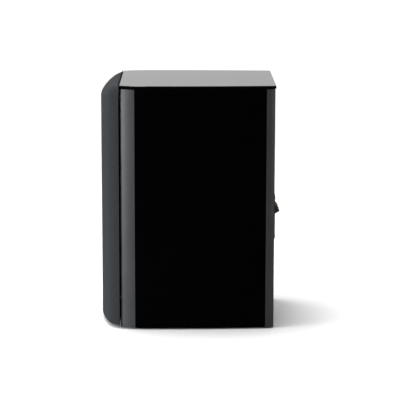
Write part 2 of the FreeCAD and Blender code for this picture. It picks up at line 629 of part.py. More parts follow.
def woofer():
    woofer_basket()
    holed_ring("woofer_gasket", "woofer_opening", "woofer_rim",
               f"{FLANGE_LOW} - woofer_gasket_thick", FLANGE_LOW, "woofer_screw_circle", WOOFER)
    trim = turned("trim_disc", [
        ("surround_outer + 0.3", FLANGE_TOP), ("woofer_rim", FLANGE_TOP), ("woofer_rim", "-0.3"),
        ("woofer_rim - 0.3", "0"), ("surround_outer + 1.3", "0"), ("surround_outer + 0.3", "-0.5"),
    ], WOOFER)
    spots = screw_spots("woofer_screw_circle")
    holes = group("trim_holes", [
        rod("trim_hole", "screw_head + 0.3", "woofer_trim_thick + 2",
            (x, f"{FRONT} + woofer_trim_thick + 1", f"woofer_height + {z}", FACING_FRONT))
        for x, z in spots])
    piece(cut("woofer_trim_cut", trim, holes), "woofer_trim_ring")
    piece(group("woofer_screws", [
        screw("woofer_screw", (x, f"{FRONT} + woofer_trim_thick", f"woofer_height + {z}", FACING_FRONT),
              "screw_head", "screw_length") for x, z in spots]), "woofer_screws")

    half_roll("woofer_surround", "surround_centre", "surround_outer", "surround_inner",
              "surround_roll", "surround_thick", FLANGE_TOP, WOOFER)
    cone = turned("woofer_cone", [
        (COIL_OUTER, f"{NECK} - cone_thick*1.2"), (CONE_FLAT, f"{CONE_TOP} - cone_thick"),
        ("cone_edge", f"{CONE_TOP} - cone_thick"), ("cone_edge", CONE_TOP), (CONE_FLAT, CONE_TOP),
        (COIL_OUTER, NECK),
    ], WOOFER)
    piece(cone, "woofer_cone")
    seat = f"({NECK} + (cap_radius - {COIL_OUTER})*cone_drop/({CONE_FLAT} - {COIL_OUTER}) + cone_gap)"
    crown = f"({seat} + cap_curve - sqrt(cap_curve^2 - cap_radius^2))"
    shell = "(cap_curve - cap_thick)"
    rim = f"({seat} + sqrt({shell}^2 - (cap_radius - cap_thick)^2) - sqrt(cap_curve^2 - cap_radius^2))"
    piece(turned("dust_cap", [
        ("cap_radius", seat), ("0", crown, "cap_curve", "left"), ("0", f"{crown} - cap_thick"),
        ("cap_radius - cap_thick", rim, shell, "right"),
    ], WOOFER), "dust_cap")
    piece(ring("voice_coil_former", "coil_radius", COIL_OUTER, "-former_end", NECK, WOOFER),
          "voice_coil_former")
    winding_top = f"({MOTOR_TOP} - motor_plate_thick/2 + winding_height/2)"
    piece(ring("voice_coil_winding", COIL_OUTER, f"{COIL_OUTER} + winding_thick",
               f"{winding_top} - winding_height", winding_top, WOOFER), "voice_coil_winding")

    piece(woofer_spider(), "woofer_spider")
    piece(ring("woofer_front_plate", "gap_outer", "motor_plate_radius", MOTOR_LOW, MOTOR_TOP, WOOFER),
          "woofer_front_plate")
    piece(ring("woofer_magnet", "magnet_bore", "magnet_radius", MAGNET_LOW, MOTOR_LOW, WOOFER),
          "woofer_magnet")
    piece(turned("woofer_pole_plate", [
        ("pole_vent", f"{MAGNET_LOW} - back_plate_thick"),
        ("back_plate_radius", f"{MAGNET_LOW} - back_plate_thick"), ("back_plate_radius", MAGNET_LOW),
        ("pole_radius", MAGNET_LOW), ("pole_radius", MOTOR_TOP), ("pole_vent", MOTOR_TOP),
    ], WOOFER), "woofer_pole_plate")
    terminals("woofer_terminals", "basket_foot", "(-basket_depth)", "(-ledge_depth - 2)", WOOFER)


def woofer_spider():
    """The corrugated cloth disc that centres the voice coil."""
    inner, outer = f"({COIL_OUTER} + spider_gap)", "(basket_foot - basket_wall - 1)"
    waves = 4
    step = f"(({outer} - {inner})/{2 * waves + 1})"
    base = "(-ledge_depth + 0.02)"
    top, low = [], []
    for number in range(2 * waves + 2):
        radius = f"({inner} + {step}*{number})"
        lift = "0" if number in (0, 2 * waves, 2 * waves + 1) else f"spider_wave*{number % 2}"
        top.append((radius, f"{base} + spider_thick + {lift}"))
        low.append((radius, f"{base} + {lift}"))
    return turned("woofer_spider", top + low[::-1], WOOFER)


def terminals(name, radius, near, far, place):
    """A tag board on a driver's round side, with two blades that stand out for the leads."""
    middle = f"(({near}) + ({far}))/2"
    board = box("tag_board", ("-terminal_width/2", "terminal_width/2"),
                (f"-{radius} - terminal_thick", f"-{radius} + 2"), (near, far))
    seat = cut(name + "_seat", board, rod("tag_seat", radius, f"{far} - {near} + 2", ("0", "0", f"{near} - 1")))
    blades = [box("blade", (f"{side} - blade_width/2", f"{side} + blade_width/2"),
                  (f"-{radius} - terminal_thick - blade_length", f"-{radius} - terminal_thick"),
                  (f"{middle} - blade_thick/2", f"{middle} + blade_thick/2"))
              for side in ("-lead_pitch", "lead_pitch")]
    return piece(put(fuse(name, seat, *blades), place), name)


# ---------------------------------------------------------------- tweeter

TWEETER = ("0", FRONT, TWEETER_HEIGHT, FACING_FRONT)
PLATE_LOW = "(-tweeter_plate_thick)"
DOME_BASE = f"({PLATE_LOW} - dome_roll_thick - 0.1)"
TWEETER_TOP = f"({DOME_BASE} - 0.1)"
TWEETER_LOW = f"({TWEETER_TOP} - tweeter_top_thick)"
TWEETER_BACK = f"({TWEETER_LOW} - tweeter_magnet_thick)"


def tweeter():
    holed_ring("tweeter_gasket", "tweeter_opening + 1", "tweeter_rim",
               f"{PLATE_LOW} - tweeter_gasket_thick", PLATE_LOW, "tweeter_screw_circle", TWEETER)
    plate = turned("tweeter_disc", [
        ("guide_inner", PLATE_LOW), ("tweeter_rim", PLATE_LOW), ("tweeter_rim", "-0.5"),
        ("tweeter_rim - 0.5", "0"), ("guide_outer", "0"), ("guide_inner", "-guide_depth"),
    ], TWEETER)
    spots = screw_spots("tweeter_screw_circle")
    holes = group("tweeter_holes", [
        rod("tweeter_hole", "screw_head + 0.3", "screw_head_thick + 1",
            (x, f"{FRONT} + screw_head_thick", f"{TWEETER_HEIGHT} + {z}", FACING_FRONT))
        for x, z in spots])
    shanks = group("tweeter_shank_holes", [
        rod("tweeter_shank_hole", "screw_shank + 0.2", "tweeter_plate_thick + 2",
            (x, f"{FRONT} + tweeter_plate_thick + 1", f"{TWEETER_HEIGHT} + {z}", FACING_FRONT))
        for x, z in spots])
    piece(cut("tweeter_plate_cut", plate, holes, shanks), "tweeter_faceplate")
    piece(group("tweeter_screws", [
        screw("tweeter_screw", (x, f"{FRONT} + screw_head_thick", f"{TWEETER_HEIGHT} + {z}", FACING_FRONT),
              "screw_head", "screw_length") for x, z in spots]), "tweeter_screws")

    half_roll("tweeter_surround", "(dome_radius + dome_gap + dome_roll)", "dome_lip",
              "(dome_radius + dome_gap - 0.05)", "dome_roll", "dome_roll_thick", DOME_BASE, TWEETER)
    shell = "(dome_curve - dome_thick)"
    crown = f"({DOME_BASE} + dome_curve - sqrt(dome_curve^2 - dome_radius^2))"
    rim = f"({crown} - dome_curve + sqrt({shell}^2 - (dome_radius - dome_thick)^2))"
    piece(turned("tweeter_dome", [
        ("dome_radius", DOME_BASE), ("0", crown, "dome_curve", "left"), ("0", f"{crown} - dome_thick"),
        ("dome_radius - dome_thick", rim, shell, "right"),
    ], TWEETER), "tweeter_dome")
    piece(ring("tweeter_coil", "dome_radius - tweeter_coil_thick", "dome_radius",
               f"{DOME_BASE} - tweeter_coil_height", f"{DOME_BASE} - glue_line", TWEETER), "tweeter_coil")
    piece(ring("tweeter_front_plate", "tweeter_gap_outer", "tweeter_top_radius",
               TWEETER_LOW, TWEETER_TOP, TWEETER), "tweeter_front_plate")
    piece(ring("tweeter_magnet", "tweeter_magnet_bore", "tweeter_magnet_radius",
               TWEETER_BACK, TWEETER_LOW, TWEETER), "tweeter_magnet")
    piece(turned("tweeter_pole_plate", [
        ("0", f"{TWEETER_BACK} - tweeter_back_thick"),
        ("tweeter_magnet_radius", f"{TWEETER_BACK} - tweeter_back_thick"),
        ("tweeter_magnet_radius", TWEETER_BACK), ("tweeter_pole", TWEETER_BACK),
        ("tweeter_pole", f"{TWEETER_TOP} - pole_drop"), ("0", f"{TWEETER_TOP} - pole_drop"),
    ], TWEETER), "tweeter_pole_plate")
    sideways = FACING_FRONT.multiply(FreeCAD.Rotation(FreeCAD.Vector(0, 0, 1), 90))
    terminals("tweeter_terminals", "tweeter_magnet_radius", f"({TWEETER_BACK} - tweeter_back_thick)",
              "(-baffle_thick - 0.5)", TWEETER[:3] + (sideways,))


# ---------------------------------------------------------------- port and terminals

def port():
    """The flared reflex port that leaves through the rear panel."""
    throat = "port_flange_thick - port_flare"
    piece(turned("port_tube", [
        ("port_bore + port_wall", "-port_length"), ("port_bore + port_wall", "0"), ("port_flange", "0"),
        ("port_flange", "port_flange_thick - 0.8"), ("port_flange - 0.8", "port_flange_thick"),
        ("port_bore + port_flare", "port_flange_thick"),
        ("port_bore", throat, "port_flare", "left"), ("port_bore", "-port_length"),
    ], ("0", REAR, "port_height", FACING_REAR)), "port_tube")


# The two binding posts share one tilted frame: its origin is on the cup's sloping floor.
POST_Y = f"({REAR} + post_reach - knob_radius*sin(post_tilt) - knob_end*cos(post_tilt))"
CUP_Z = "(post_tip_height + knob_radius*cos(post_tilt) - knob_end*sin(post_tilt))"
CUP_BACK = f"({REAR} - {POST_Y})"
CUP_DEPTH = f"({CUP_BACK} + cup_wall/cos(post_tilt))"


def on_post(item, side, height):
    """Stand a piece on the tilted axis of the left or right binding post."""
    item.Placement = FreeCAD.Placement(FreeCAD.Vector(), FreeCAD.Rotation(FreeCAD.Vector(-1, 0, 0), 60))
    bind(item, "Placement.Rotation.Angle", "90 - post_tilt")
    bind(item, "Placement.Base.x", f"{side}*{POST_SPACING}/2")
    bind(item, "Placement.Base.y", f"{POST_Y} + ({height})*cos(post_tilt)")
    bind(item, "Placement.Base.z", f"{CUP_Z} + ({height})*sin(post_tilt)")
    return item


def post_ring(name, inner, outer, low, high, side):
    """A ring round one binding post."""
    return on_post(ring(name, inner, outer, low, high, ("0", "0", "0")), side, "0")


def terminal_cup():
    """The moulded cup: a rim on the rear panel round a wedge with a sloping floor."""
    lip = "(cup_gasket_thick + cup_rim_thick)"
    side = "(cup_width/2 + cup_wall)"
    high = "(cup_rise + cup_wall)"
    outer = [
        (f"-({CUP_DEPTH}) - {high}*tan(post_tilt)", high),
        ("cup_gasket_thick", f"-({CUP_DEPTH} + cup_gasket_thick)/tan(post_tilt)"),
        ("cup_gasket_thick", high),
    ]
    inner = [
        (f"-({CUP_BACK}) - cup_rise*tan(post_tilt)", "cup_rise"),
        (f"{lip} + 0.5", f"-({CUP_BACK} + {lip} + 0.5)/tan(post_tilt)"),
        (f"{lip} + 0.5", "cup_rise"),
    ]
    wedge = padded("cup_wedge", "YZ_Plane", [outer], f"-{side}", f"2*{side}", ("0", REAR, CUP_Z))
    hollow = padded("cup_hollow", "YZ_Plane", [inner], "-cup_width/2", "cup_width", ("0", REAR, CUP_Z))
    rim = padded("cup_rim", "XZ_Plane", [cup_outline("0")], f"-{lip}", "cup_rim_thick", ("0", REAR, CUP_Z))
    holes = [on_post(rod("stem_hole", "stem_radius + running_clearance", "cup_wall + 2",
                         ("0", "0", "0")), hand, "-cup_wall - 1") for hand in (-1, 1)]
    screw_holes = [rod("cup_hole", "screw_shank + 0.2", f"{lip} + 2", (x, f"{REAR} - 1", z, FACING_REAR))
                   for x, z in cup_corners()]
    head_holes = [rod("cup_head_hole", "small_screw_head + 0.3", "cup_screw_sink + 1",
                      (x, f"{REAR} + {lip} - cup_screw_sink", z, FACING_REAR)) for x, z in cup_corners()]
    return piece(cut("terminal_cup", fuse("cup_solid", wedge, rim), hollow,
                     *holes, *screw_holes, *head_holes), "terminal_cup")


def cup_outline(inset):
    """The rim's rounded rectangle, drawn in by an inset."""
    low = "(-(" + CUP_BACK + " + cup_gasket_thick + cup_rim_thick)/tan(post_tilt) - cup_rim)"
    side = f"(cup_width/2 + cup_wall + cup_rim - {inset})"
    return rounded_rectangle(f"-{side}", side, f"{low} + {inset}",
                             f"cup_rise + cup_wall + cup_rim - {inset}", "cup_rim/2")


def cup_corners():
    """Where the cup's four screws go."""
    side = "(cup_width/2 + cup_wall + cup_screw_inset)"
    low = f"-({CUP_BACK} + cup_gasket_thick + cup_rim_thick)/tan(post_tilt) - cup_screw_inset"
    high = "cup_rise + cup_wall + cup_screw_inset"
    return [(f"{hand}*{side}", f"{CUP_Z} + {up}") for hand in (-1, 1) for up in (low, high)]


def binding_posts():
    terminal_cup()
    gasket = padded("gasket_sheet", "XZ_Plane", [cup_outline("0.5")], "-cup_gasket_thick",
                    "cup_gasket_thick", ("0", REAR, CUP_Z))
    side, lip = "(cup_width/2 + cup_wall + cup_fit)", "cup_gasket_thick"
    window = box("gasket_window", (f"-{side}", side), (f"{REAR} - 1", f"{REAR} + {lip} + 1"),
                 (f"{CUP_Z} - cup_fit - ({CUP_DEPTH} + {lip})/tan(post_tilt)",
                  f"{CUP_Z} + cup_rise + cup_wall + cup_fit"))
    shanks = [rod("gasket_hole", "screw_shank + 0.2", f"{lip} + 2", (x, f"{REAR} - 1", z, FACING_REAR))
              for x, z in cup_corners()]
    piece(cut("cup_gasket", gasket, window, *shanks), "cup_gasket")
    face = f"{REAR} + cup_gasket_thick + cup_rim_thick - cup_screw_sink"
    SMALL_SCREWS.extend(screw("cup_screw", (x, face, z, FACING_REAR), "small_screw_head",
                              "small_screw_length") for x, z in cup_corners())
    stems, bushes, nuts, tags = [], [], [], []
    for hand, colour in ((-1, "red"), (1, "black")):
        stems.append(on_post(turned("stem", [
            ("0", "-stem_tail"), ("stem_radius", "-stem_tail"), ("stem_radius", "stem_tip - 0.5"),
            ("stem_radius - 0.5", "stem_tip"), ("banana_bore", "stem_tip"),
            ("banana_bore", "stem_tip - banana_depth"), ("0", "stem_tip - banana_depth"),
        ], ("0", "0", "0")), hand, "0"))
        bore = "stem_radius + running_clearance"
        bushes.append(post_ring("bush", bore, "bush_radius", "0", "bush_thick", hand))
        nut = doc.addObject("Part::Prism", "nut_blank")
        nut.Polygon = 6
        bind(nut, "Circumradius", "nut_radius")
        bind(nut, "Height", "nut_thick")
        on_post(nut, hand, "-cup_wall - nut_thick")
        hole = on_post(rod("nut_hole", "stem_radius", "nut_thick + 2", ("0", "0", "0")), hand,
                       "-cup_wall - nut_thick - 1")
        nuts.append(cut("nut", nut, hole))
        low = "(-cup_wall - nut_thick - tag_thick)"
        eye = post_ring("tag_eye", "stem_radius", "tag_radius", low, f"{low} + tag_thick", hand)
        near, far = "stem_radius + 0.5", "stem_radius + 0.5 + tag_length"
        across = (near, far) if hand > 0 else (f"-({far})", f"-({near})")
        tail = box("tag_tail", across, ("-blade_width/2", "blade_width/2"), (low, f"{low} + tag_thick"))
        tags.append(fuse("tag", eye, on_post(group("tag_arm", [tail]), hand, "0")))
        seat = "(bush_thick + washer_thick)"
        piece(post_ring(f"clamp_washer_{colour}", bore, "knob_radius", "bush_thick", seat, hand),
              f"clamp_washer_{colour}")
        post_knob(f"post_knob_{colour}", seat, hand)
    piece(group("post_stems", stems), "post_stems")
    piece(group("post_bushes", bushes), "post_bushes")
    piece(group("post_nuts", nuts), "post_nuts")
    piece(group("solder_tags", tags), "solder_tags")


def post_knob(name, seat, hand):
    """A thumb nut with fine finger grooves along its side."""
    body = turned(name, [
        ("stem_radius + running_clearance", seat), ("knob_radius - 0.4", seat),
        ("knob_radius", f"{seat} + 0.4"), ("knob_radius", "knob_end - knob_chamfer"),
        ("knob_radius - knob_chamfer", "knob_end"), ("stem_radius + running_clearance", "knob_end"),
    ], ("0", "0", "0"))
    groove = pocket(body, "XY_Plane", f"knob_end - {seat} - 5", offset="knob_end - 2.5",
                    circles=[("knob_radius + knob_groove*0.4", "0", "knob_groove")])
    pattern = body.newObject("PartDesign::PolarPattern", name + "_grooves")
    pattern.Originals = [groove]
    pattern.Axis = (groove.Profile[0], ["N_Axis"])
    pattern.Angle = 360
    bind(pattern, "Occurrences", "knob_grooves")
    body.Tip = pattern
    return piece(on_post(body, hand, "0"), name)


# ---------------------------------------------------------------- crossover and wiring

BOARD_LOW = f"({FLOOR_TOP} + standoff_height)"
BOARD_TOP = f"({BOARD_LOW} + board_thick)"
BOARD_NEAR = f"({FRONT} + board_back)"
BOARD_FAR = f"({BOARD_NEAR} + board_depth)"


def crossover():
    """The filter board on the cabinet's floor, with its coils, capacitors and resistors."""
    half = "(board_width/2)"
    board = box("board_sheet", (f"-{half}", half), (BOARD_NEAR, BOARD_FAR), (BOARD_LOW, BOARD_TOP))
    posts, holes = [], []
    for x in (f"-{half} + standoff_inset", f"{half} - standoff_inset"):
        for y in (f"{BOARD_NEAR} + standoff_inset", f"{BOARD_FAR} - standoff_inset"):
            posts.append(ring("standoff", "screw_shank + 0.2", "standoff_radius + 1", "0",
                              "standoff_height", (x, y, FLOOR_TOP)))
            holes.append(rod("board_hole", "screw_shank + 0.2", "board_thick + 2", (x, y, f"{BOARD_LOW} - 1")))
            SMALL_SCREWS.append(screw("board_screw", (x, y, BOARD_TOP), "small_screw_head",
                                      "small_screw_length"))
    piece(cut("crossover_board", board, *holes), "crossover_board")
    piece(group("board_standoffs", posts), "board_standoffs")
    piece(group("small_screws", SMALL_SCREWS), "small_screws")

    seat = f"{BOARD_TOP}"
    coils, cores = [], []
    for x, y in (("-board_width/4", f"{BOARD_NEAR} + board_depth*0.32"),
                 ("board_width/4", f"{BOARD_NEAR} + board_depth*0.75")):
        coils.append(ring("coil", "coil_inner", "coil_outer", "0", "coil_height", (x, y, seat)))
        cores.append(rod("core", "coil_core", "coil_height + 2", (x, y, seat)))
    piece(group("crossover_coils", coils), "crossover_coils")
    piece(group("coil_cores", cores), "coil_cores")
    lift = f"{BOARD_TOP} + capacitor_radius + part_lift"
    piece(group("capacitors", [
        rod("capacitor", "capacitor_radius", "capacitor_length", (x, y, lift, FACING_SIDE)) for x, y in (
            ("4", f"{BOARD_NEAR} + board_depth*0.17"), ("4", f"{BOARD_NEAR} + board_depth*0.38"),
            ("-10 - capacitor_length", f"{BOARD_NEAR} + board_depth*0.86"))]), "capacitors")
    low = f"{BOARD_TOP} + part_lift"
    piece(group("resistors", [
        box("resistor", ("-4 - resistor_length", "-4"), (y, f"{y} + resistor_width"),
            (low, f"{low} + resistor_height")) for y in (
            f"{BOARD_NEAR} + board_depth*0.52", f"{BOARD_NEAR} + board_depth*0.65")]), "resistors")


def lead(name, route):
    """One insulated lead: straight runs joined by tangent arcs through the given points."""
    points = [FreeCAD.Vector(*[value(part) for part in point]) for point in route]
    edges, start, radii = [], points[0], []
    for before, bend, after in zip(points, points[1:], points[2:]):
        into, out = (before - bend), (after - bend)
        half = into.getAngle(out) / 2
        setback = 0.45 * min(into.Length, out.Length)
        radius = setback * math.tan(half)
        radii.append(round(radius, 1))
        into.normalize()
        out.normalize()
        inward = (into + out).normalize()
        middle = bend + inward * (radius / math.sin(half) - radius)
        edges.append(Part.LineSegment(start, bend + into * setback).toShape())
        edges.append(Part.Arc(bend + into * setback, middle, bend + out * setback).toShape())
        start = bend + out * setback
    edges.append(Part.LineSegment(start, points[-1]).toShape())
    path = Part.Wire(edges)
    heading = (points[1] - points[0]).normalize()
    section = Part.Wire([Part.Circle(points[0], heading, value("lead_radius")).toShape()])
    solid = path.makePipeShell([section], True, False)
    expected = math.pi * value("lead_radius") ** 2 * path.Length
    if abs(solid.Volume - expected) > 0.01 * expected:
        raise RuntimeError(f"{name} has the wrong volume")
    print(name, "bend radii", radii)
    item = doc.addObject("Part::Feature", name)
    item.Shape = solid
    return item


def wiring():
    """The three pairs of leads, from the board to the posts and the drivers."""
    tag = "(-cup_wall - nut_thick - tag_thick)"
    tag_x = f"({POST_SPACING}/2 + stem_radius + 0.5 + tag_length - 2)"
    far_y = f"({BOARD_FAR} - 8)"
    piece(group("input_leads", [lead("input_lead", [
        (f"{hand}*{tag_x}", f"{POST_Y} + {tag}*cos(post_tilt)", f"{CUP_Z} + {tag}*sin(post_tilt)"),
        (f"{hand}*{tag_x}", f"{POST_Y} + ({tag} - 14)*cos(post_tilt)",
         f"{CUP_Z} + ({tag} - 14)*sin(post_tilt)"),
        (f"{hand}*lead_pitch", far_y, f"{BOARD_TOP} + 32"),
        (f"{hand}*lead_pitch", far_y, BOARD_TOP),
    ]) for hand in (-1, 1)]), "input_leads")
    blade_y = f"({FRONT} + (ledge_depth + 2 + basket_depth)/2)"
    blade_z = "(woofer_height - basket_foot - terminal_thick - blade_length)"
    near_y = f"({BOARD_NEAR} + 6)"
    piece(group("woofer_leads", [lead("woofer_lead", [
        (f"{hand}*lead_pitch", blade_y, blade_z),
        (f"{hand}*lead_pitch", blade_y, f"{blade_z} - 18"),
        (f"{hand}*lead_pitch", f"{near_y} - 22", f"{BOARD_TOP} + 20"),
        (f"{hand}*lead_pitch*0.6", near_y, f"{BOARD_TOP} + 16"),
        (f"{hand}*lead_pitch*0.6", near_y, BOARD_TOP),
    ]) for hand in (-1, 1)]), "woofer_leads")
    start_x = "(tweeter_magnet_radius + terminal_thick + blade_length)"
    start_y = f"({FRONT} + (baffle_thick + 0.5 - {TWEETER_BACK} + tweeter_back_thick)/2)"
    wall_x = f"({INNER_HALF} - soft_gap - foam_thick - 9)"
    piece(group("tweeter_leads", [lead("tweeter_lead", [
        (start_x, start_y, f"{TWEETER_HEIGHT} + {hand}*lead_pitch"),
        (f"{wall_x} + {hand}*2", start_y, f"{TWEETER_HEIGHT} + {hand}*lead_pitch"),
        (f"{wall_x} + {hand}*2", f"{start_y} + 34", "brace_height + 12"),
        (f"{wall_x} + {hand}*2", f"{start_y} + 54", "brace_height - 50"),
        (f"board_width/2 - 6 + {hand}*2.5", f"{BOARD_NEAR} + board_depth/2", f"{BOARD_TOP} + 40"),
        (f"board_width/2 - 6 + {hand}*2.5", f"{BOARD_NEAR} + board_depth/2", BOARD_TOP),
    ]) for hand in (-1, 1)]), "tweeter_leads")


def main():
    cabinet()
    grille()
    woofer()
    tweeter()
    port()
    binding_posts()
    crossover()
    wiring()
    doc.recompute()
    faults = []
    for item in doc.Objects:
        if "Invalid" in item.State or "Error" in item.State:
            faults.append(f"{item.Label} is {item.State}")
    for item in PIECES:
        if item.Shape.isNull() or not item.Shape.isValid():
            faults.append(f"{item.Label} has no valid shape")
    if len({item.Label for item in PIECES}) != len(PIECES):
        faults.append("two pieces share a name")
    if faults:
        raise RuntimeError("; ".join(faults))
    os.makedirs("parts", exist_ok=True)
    for item in PIECES:
        item.Shape.exportStep(f"parts/{item.Label}.step")
    print(len(PIECES), "pieces written")


main()
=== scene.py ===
import math
from collections import namedtuple

import bmesh
import bpy
import numpy as np
from bpy.props import FloatProperty, FloatVectorProperty, IntProperty, PointerProperty
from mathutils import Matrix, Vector
from mathutils.bvhtree import BVHTree


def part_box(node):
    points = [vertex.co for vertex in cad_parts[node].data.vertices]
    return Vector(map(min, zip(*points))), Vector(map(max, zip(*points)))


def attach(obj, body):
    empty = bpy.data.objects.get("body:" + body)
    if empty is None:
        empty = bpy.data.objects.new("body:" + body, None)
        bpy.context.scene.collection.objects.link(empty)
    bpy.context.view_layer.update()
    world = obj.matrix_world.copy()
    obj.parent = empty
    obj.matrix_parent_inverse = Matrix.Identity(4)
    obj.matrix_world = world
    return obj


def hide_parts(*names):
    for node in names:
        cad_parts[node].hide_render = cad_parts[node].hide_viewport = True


bl_info = {
    "name": "Bookshelf Speaker Finishes",
    "version": (1, 0, 0),
    "blender": (4, 5, 0),
    "location": "3D View > Sidebar > Speaker",
    "description": "Dresses a two-way bookshelf speaker and lights it on a pale floor",
    "category": "Object",
}

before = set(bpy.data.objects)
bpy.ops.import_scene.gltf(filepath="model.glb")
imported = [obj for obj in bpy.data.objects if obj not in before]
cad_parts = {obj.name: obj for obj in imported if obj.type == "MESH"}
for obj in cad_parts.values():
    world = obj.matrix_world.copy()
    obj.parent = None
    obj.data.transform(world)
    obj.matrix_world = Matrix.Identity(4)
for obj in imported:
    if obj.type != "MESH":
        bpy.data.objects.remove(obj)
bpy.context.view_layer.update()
MM = 0.001
NOISE_SPAN = (0.3, 0.7)  # nearly all of a noise's values lie between these
WAVE_STEP = 0.314  # a wave texture at scale 1 repeats after this distance
Look = namedtuple("Look", "material tree shader here")


# ---------------------------------------------------------------- shared helpers

def linear(code):
    """An sRGB hex colour as the linear RGBA that a shader takes."""
    parts = [int(code[i:i + 2], 16) / 255 for i in (0, 2, 4)]
    return tuple(p / 12.92 if p <= 0.04045 else ((p + 0.055) / 1.055) ** 2.4
                 for p in parts) + (1.0,)


def add_node(tree, kind, sockets=None, **settings):
    """Adds one node; each of its sockets takes a value or the output that feeds it."""
    node = tree.nodes.new(kind)
    for name, setting in settings.items():
        setattr(node, name, setting)
    for socket, given in (sockets or {}).items():
        if isinstance(given, bpy.types.NodeSocket):
            tree.links.new(given, node.inputs[socket])
        else:
            node.inputs[socket].default_value = given
    return node


def new_look(name, centre=None, **constants):
    """A material with one Principled shader, its constants set on the shader's own sockets.

    Its patterns lie in object coordinates, in metres. Where a driver's centre is given, they
    are measured from it and turned so that Z runs along the driver's axis.
    """
    made = bpy.data.materials.new(name)
    made.use_nodes = True
    tree = made.node_tree
    tree.nodes.clear()
    shader = add_node(tree, "ShaderNodeBsdfPrincipled",
                      {key.replace("_", " ").title().replace("Ior", "IOR"): number
                       for key, number in constants.items()})
    add_node(tree, "ShaderNodeOutputMaterial", {"Surface": shader.outputs["BSDF"]})
    here = add_node(tree, "ShaderNodeTexCoord").outputs["Object"]
    if centre is not None:
        here = add_node(tree, "ShaderNodeMapping",
                        {"Location": [-c for c in centre], "Rotation": (math.pi / 2, 0, 0),
                         "Vector": here}, vector_type="POINT").outputs["Vector"]
    return Look(made, tree, shader, here)


def dress(look, colour_from, dark=None, light=None, roughness_from=None, roughness=None,
          height_from=None, depth_mm=None, span=NOISE_SPAN):
    """Feeds a look's colour, roughness and bump, and returns its material.

    Each comes from an output, or from a noise given as the size of its spots in mm and its
    detail. The colour runs from dark to light over the span, the roughness between its two
    values, and the bump's full height is depth_mm.
    """
    tree, shader = look.tree, look.shader
    sources = []
    for given in (colour_from, roughness_from, height_from):
        if isinstance(given, tuple):
            size_mm, detail = given
            given = add_node(tree, "ShaderNodeTexNoise",
                             {"Scale": 1 / (size_mm * MM), "Detail": detail,
                              "Vector": look.here}).outputs["Fac"]
        sources.append(given)
    colour, dulling, height = sources
    if dark is not None:
        ramp = add_node(tree, "ShaderNodeValToRGB", {"Fac": colour})
        for element, place, code in zip(ramp.color_ramp.elements, span, (dark, light)):
            element.position, element.color = place, linear(code)
        colour = ramp.outputs["Color"]
    tree.links.new(colour, shader.inputs["Base Color"])
    if dulling is not None:
        spread = add_node(tree, "ShaderNodeMapRange",
                          {"Value": dulling, "From Min": NOISE_SPAN[0], "From Max": NOISE_SPAN[1],
                           "To Min": roughness[0], "To Max": roughness[1]})
        tree.links.new(spread.outputs["Result"], shader.inputs["Roughness"])
    if height is not None:
        bump = add_node(tree, "ShaderNodeBump",
                        {"Strength": 1.0, "Distance": depth_mm * MM, "Height": height})
        tree.links.new(bump.outputs["Normal"], shader.inputs["Normal"])
    return look.material


def cover(made, *nodes):
    """Gives a CAD node its finish."""
    for name in nodes:
        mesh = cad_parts[name].data
        mesh.materials.clear()
        mesh.materials.append(made)


def new_piece(name, mesh, body, replaced=(), smooth=True):
    """A finished mesh as a piece that rides on a body and stands for CAD nodes."""
    made = bpy.data.objects.new(name, mesh)
    bpy.context.scene.collection.objects.link(made)
    for face in mesh.polygons:
        face.use_smooth = smooth
    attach(made, body)
    if replaced:
        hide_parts(*replaced)
    return made


def islands(node):
    """The separate solids of a CAD node, each as an array of its corner points."""
    work = bmesh.new()
    work.from_mesh(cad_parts[node].data)
    bmesh.ops.remove_doubles(work, verts=work.verts, dist=1e-6)
    left, found = set(work.verts), []
    while left:
        group, edge_of_group = set(), [left.pop()]
        while edge_of_group:
            point = edge_of_group.pop()
            group.add(point)
            near = {e.other_vert(point) for e in point.link_edges} & left
            left -= near
            edge_of_group.extend(near)
        found.append(np.array([point.co[:] for point in group]))
    work.free()
    return sorted(found, key=lambda points: tuple(points.mean(0).round(5)))


def grid_mesh(name, rows, closed=False):
    """A mesh from rows of points; a closed one joins each row's last point to its first."""
    rows = np.array(rows, float)
    height, width = rows.shape[:2]
    faces = []
    for i in range(height - 1):
        for j in range(width if closed else width - 1):
            k = (j + 1) % width
            faces.append((i * width + j, i * width + k, (i + 1) * width + k, (i + 1) * width + j))
    mesh = bpy.data.meshes.new(name)
    mesh.from_pydata(rows.reshape(-1, 3).tolist(), [], faces)
    return mesh


def evaluated(work, name):
    """The object with its modifiers worked out, as a plain mesh."""
    bpy.context.view_layer.update()
    seen = work.evaluated_get(bpy.context.evaluated_depsgraph_get())
    mesh = bpy.data.meshes.new_from_object(seen)
    mesh.name = name
    bpy.data.objects.remove(work)
    return mesh


def grown(tree, points, name, made, sizes):
    """Runs a geometry tree on a mesh of points and returns the plain mesh it makes."""
    work = bpy.data.objects.new(name, points)
    bpy.context.scene.collection.objects.link(work)
    modifier = work.modifiers.new(name, "NODES")
    modifier.node_group = tree
    wanted = dict(sizes, Finish=made)
    for item in tree.interface.items_tree:
        if item.in_out == "INPUT" and item.name in wanted:
            modifier[item.identifier] = wanted[item.name]
    return evaluated(work, name)


def geometry_tree(name, sizes):
    """A geometry tree with its named size inputs, its finish input and its two ends."""
    tree = bpy.data.node_groups.new(name, "GeometryNodeTree")
    tree.interface.new_socket("Geometry", in_out="INPUT", socket_type="NodeSocketGeometry")
    for label, default in sizes.items():
        socket = tree.interface.new_socket(label, in_out="INPUT", socket_type="NodeSocketFloat")
        socket.default_value = default
    tree.interface.new_socket("Finish", in_out="INPUT", socket_type="NodeSocketMaterial")
    tree.interface.new_socket("Geometry", in_out="OUTPUT", socket_type="NodeSocketGeometry")
    return tree, add_node(tree, "NodeGroupInput")


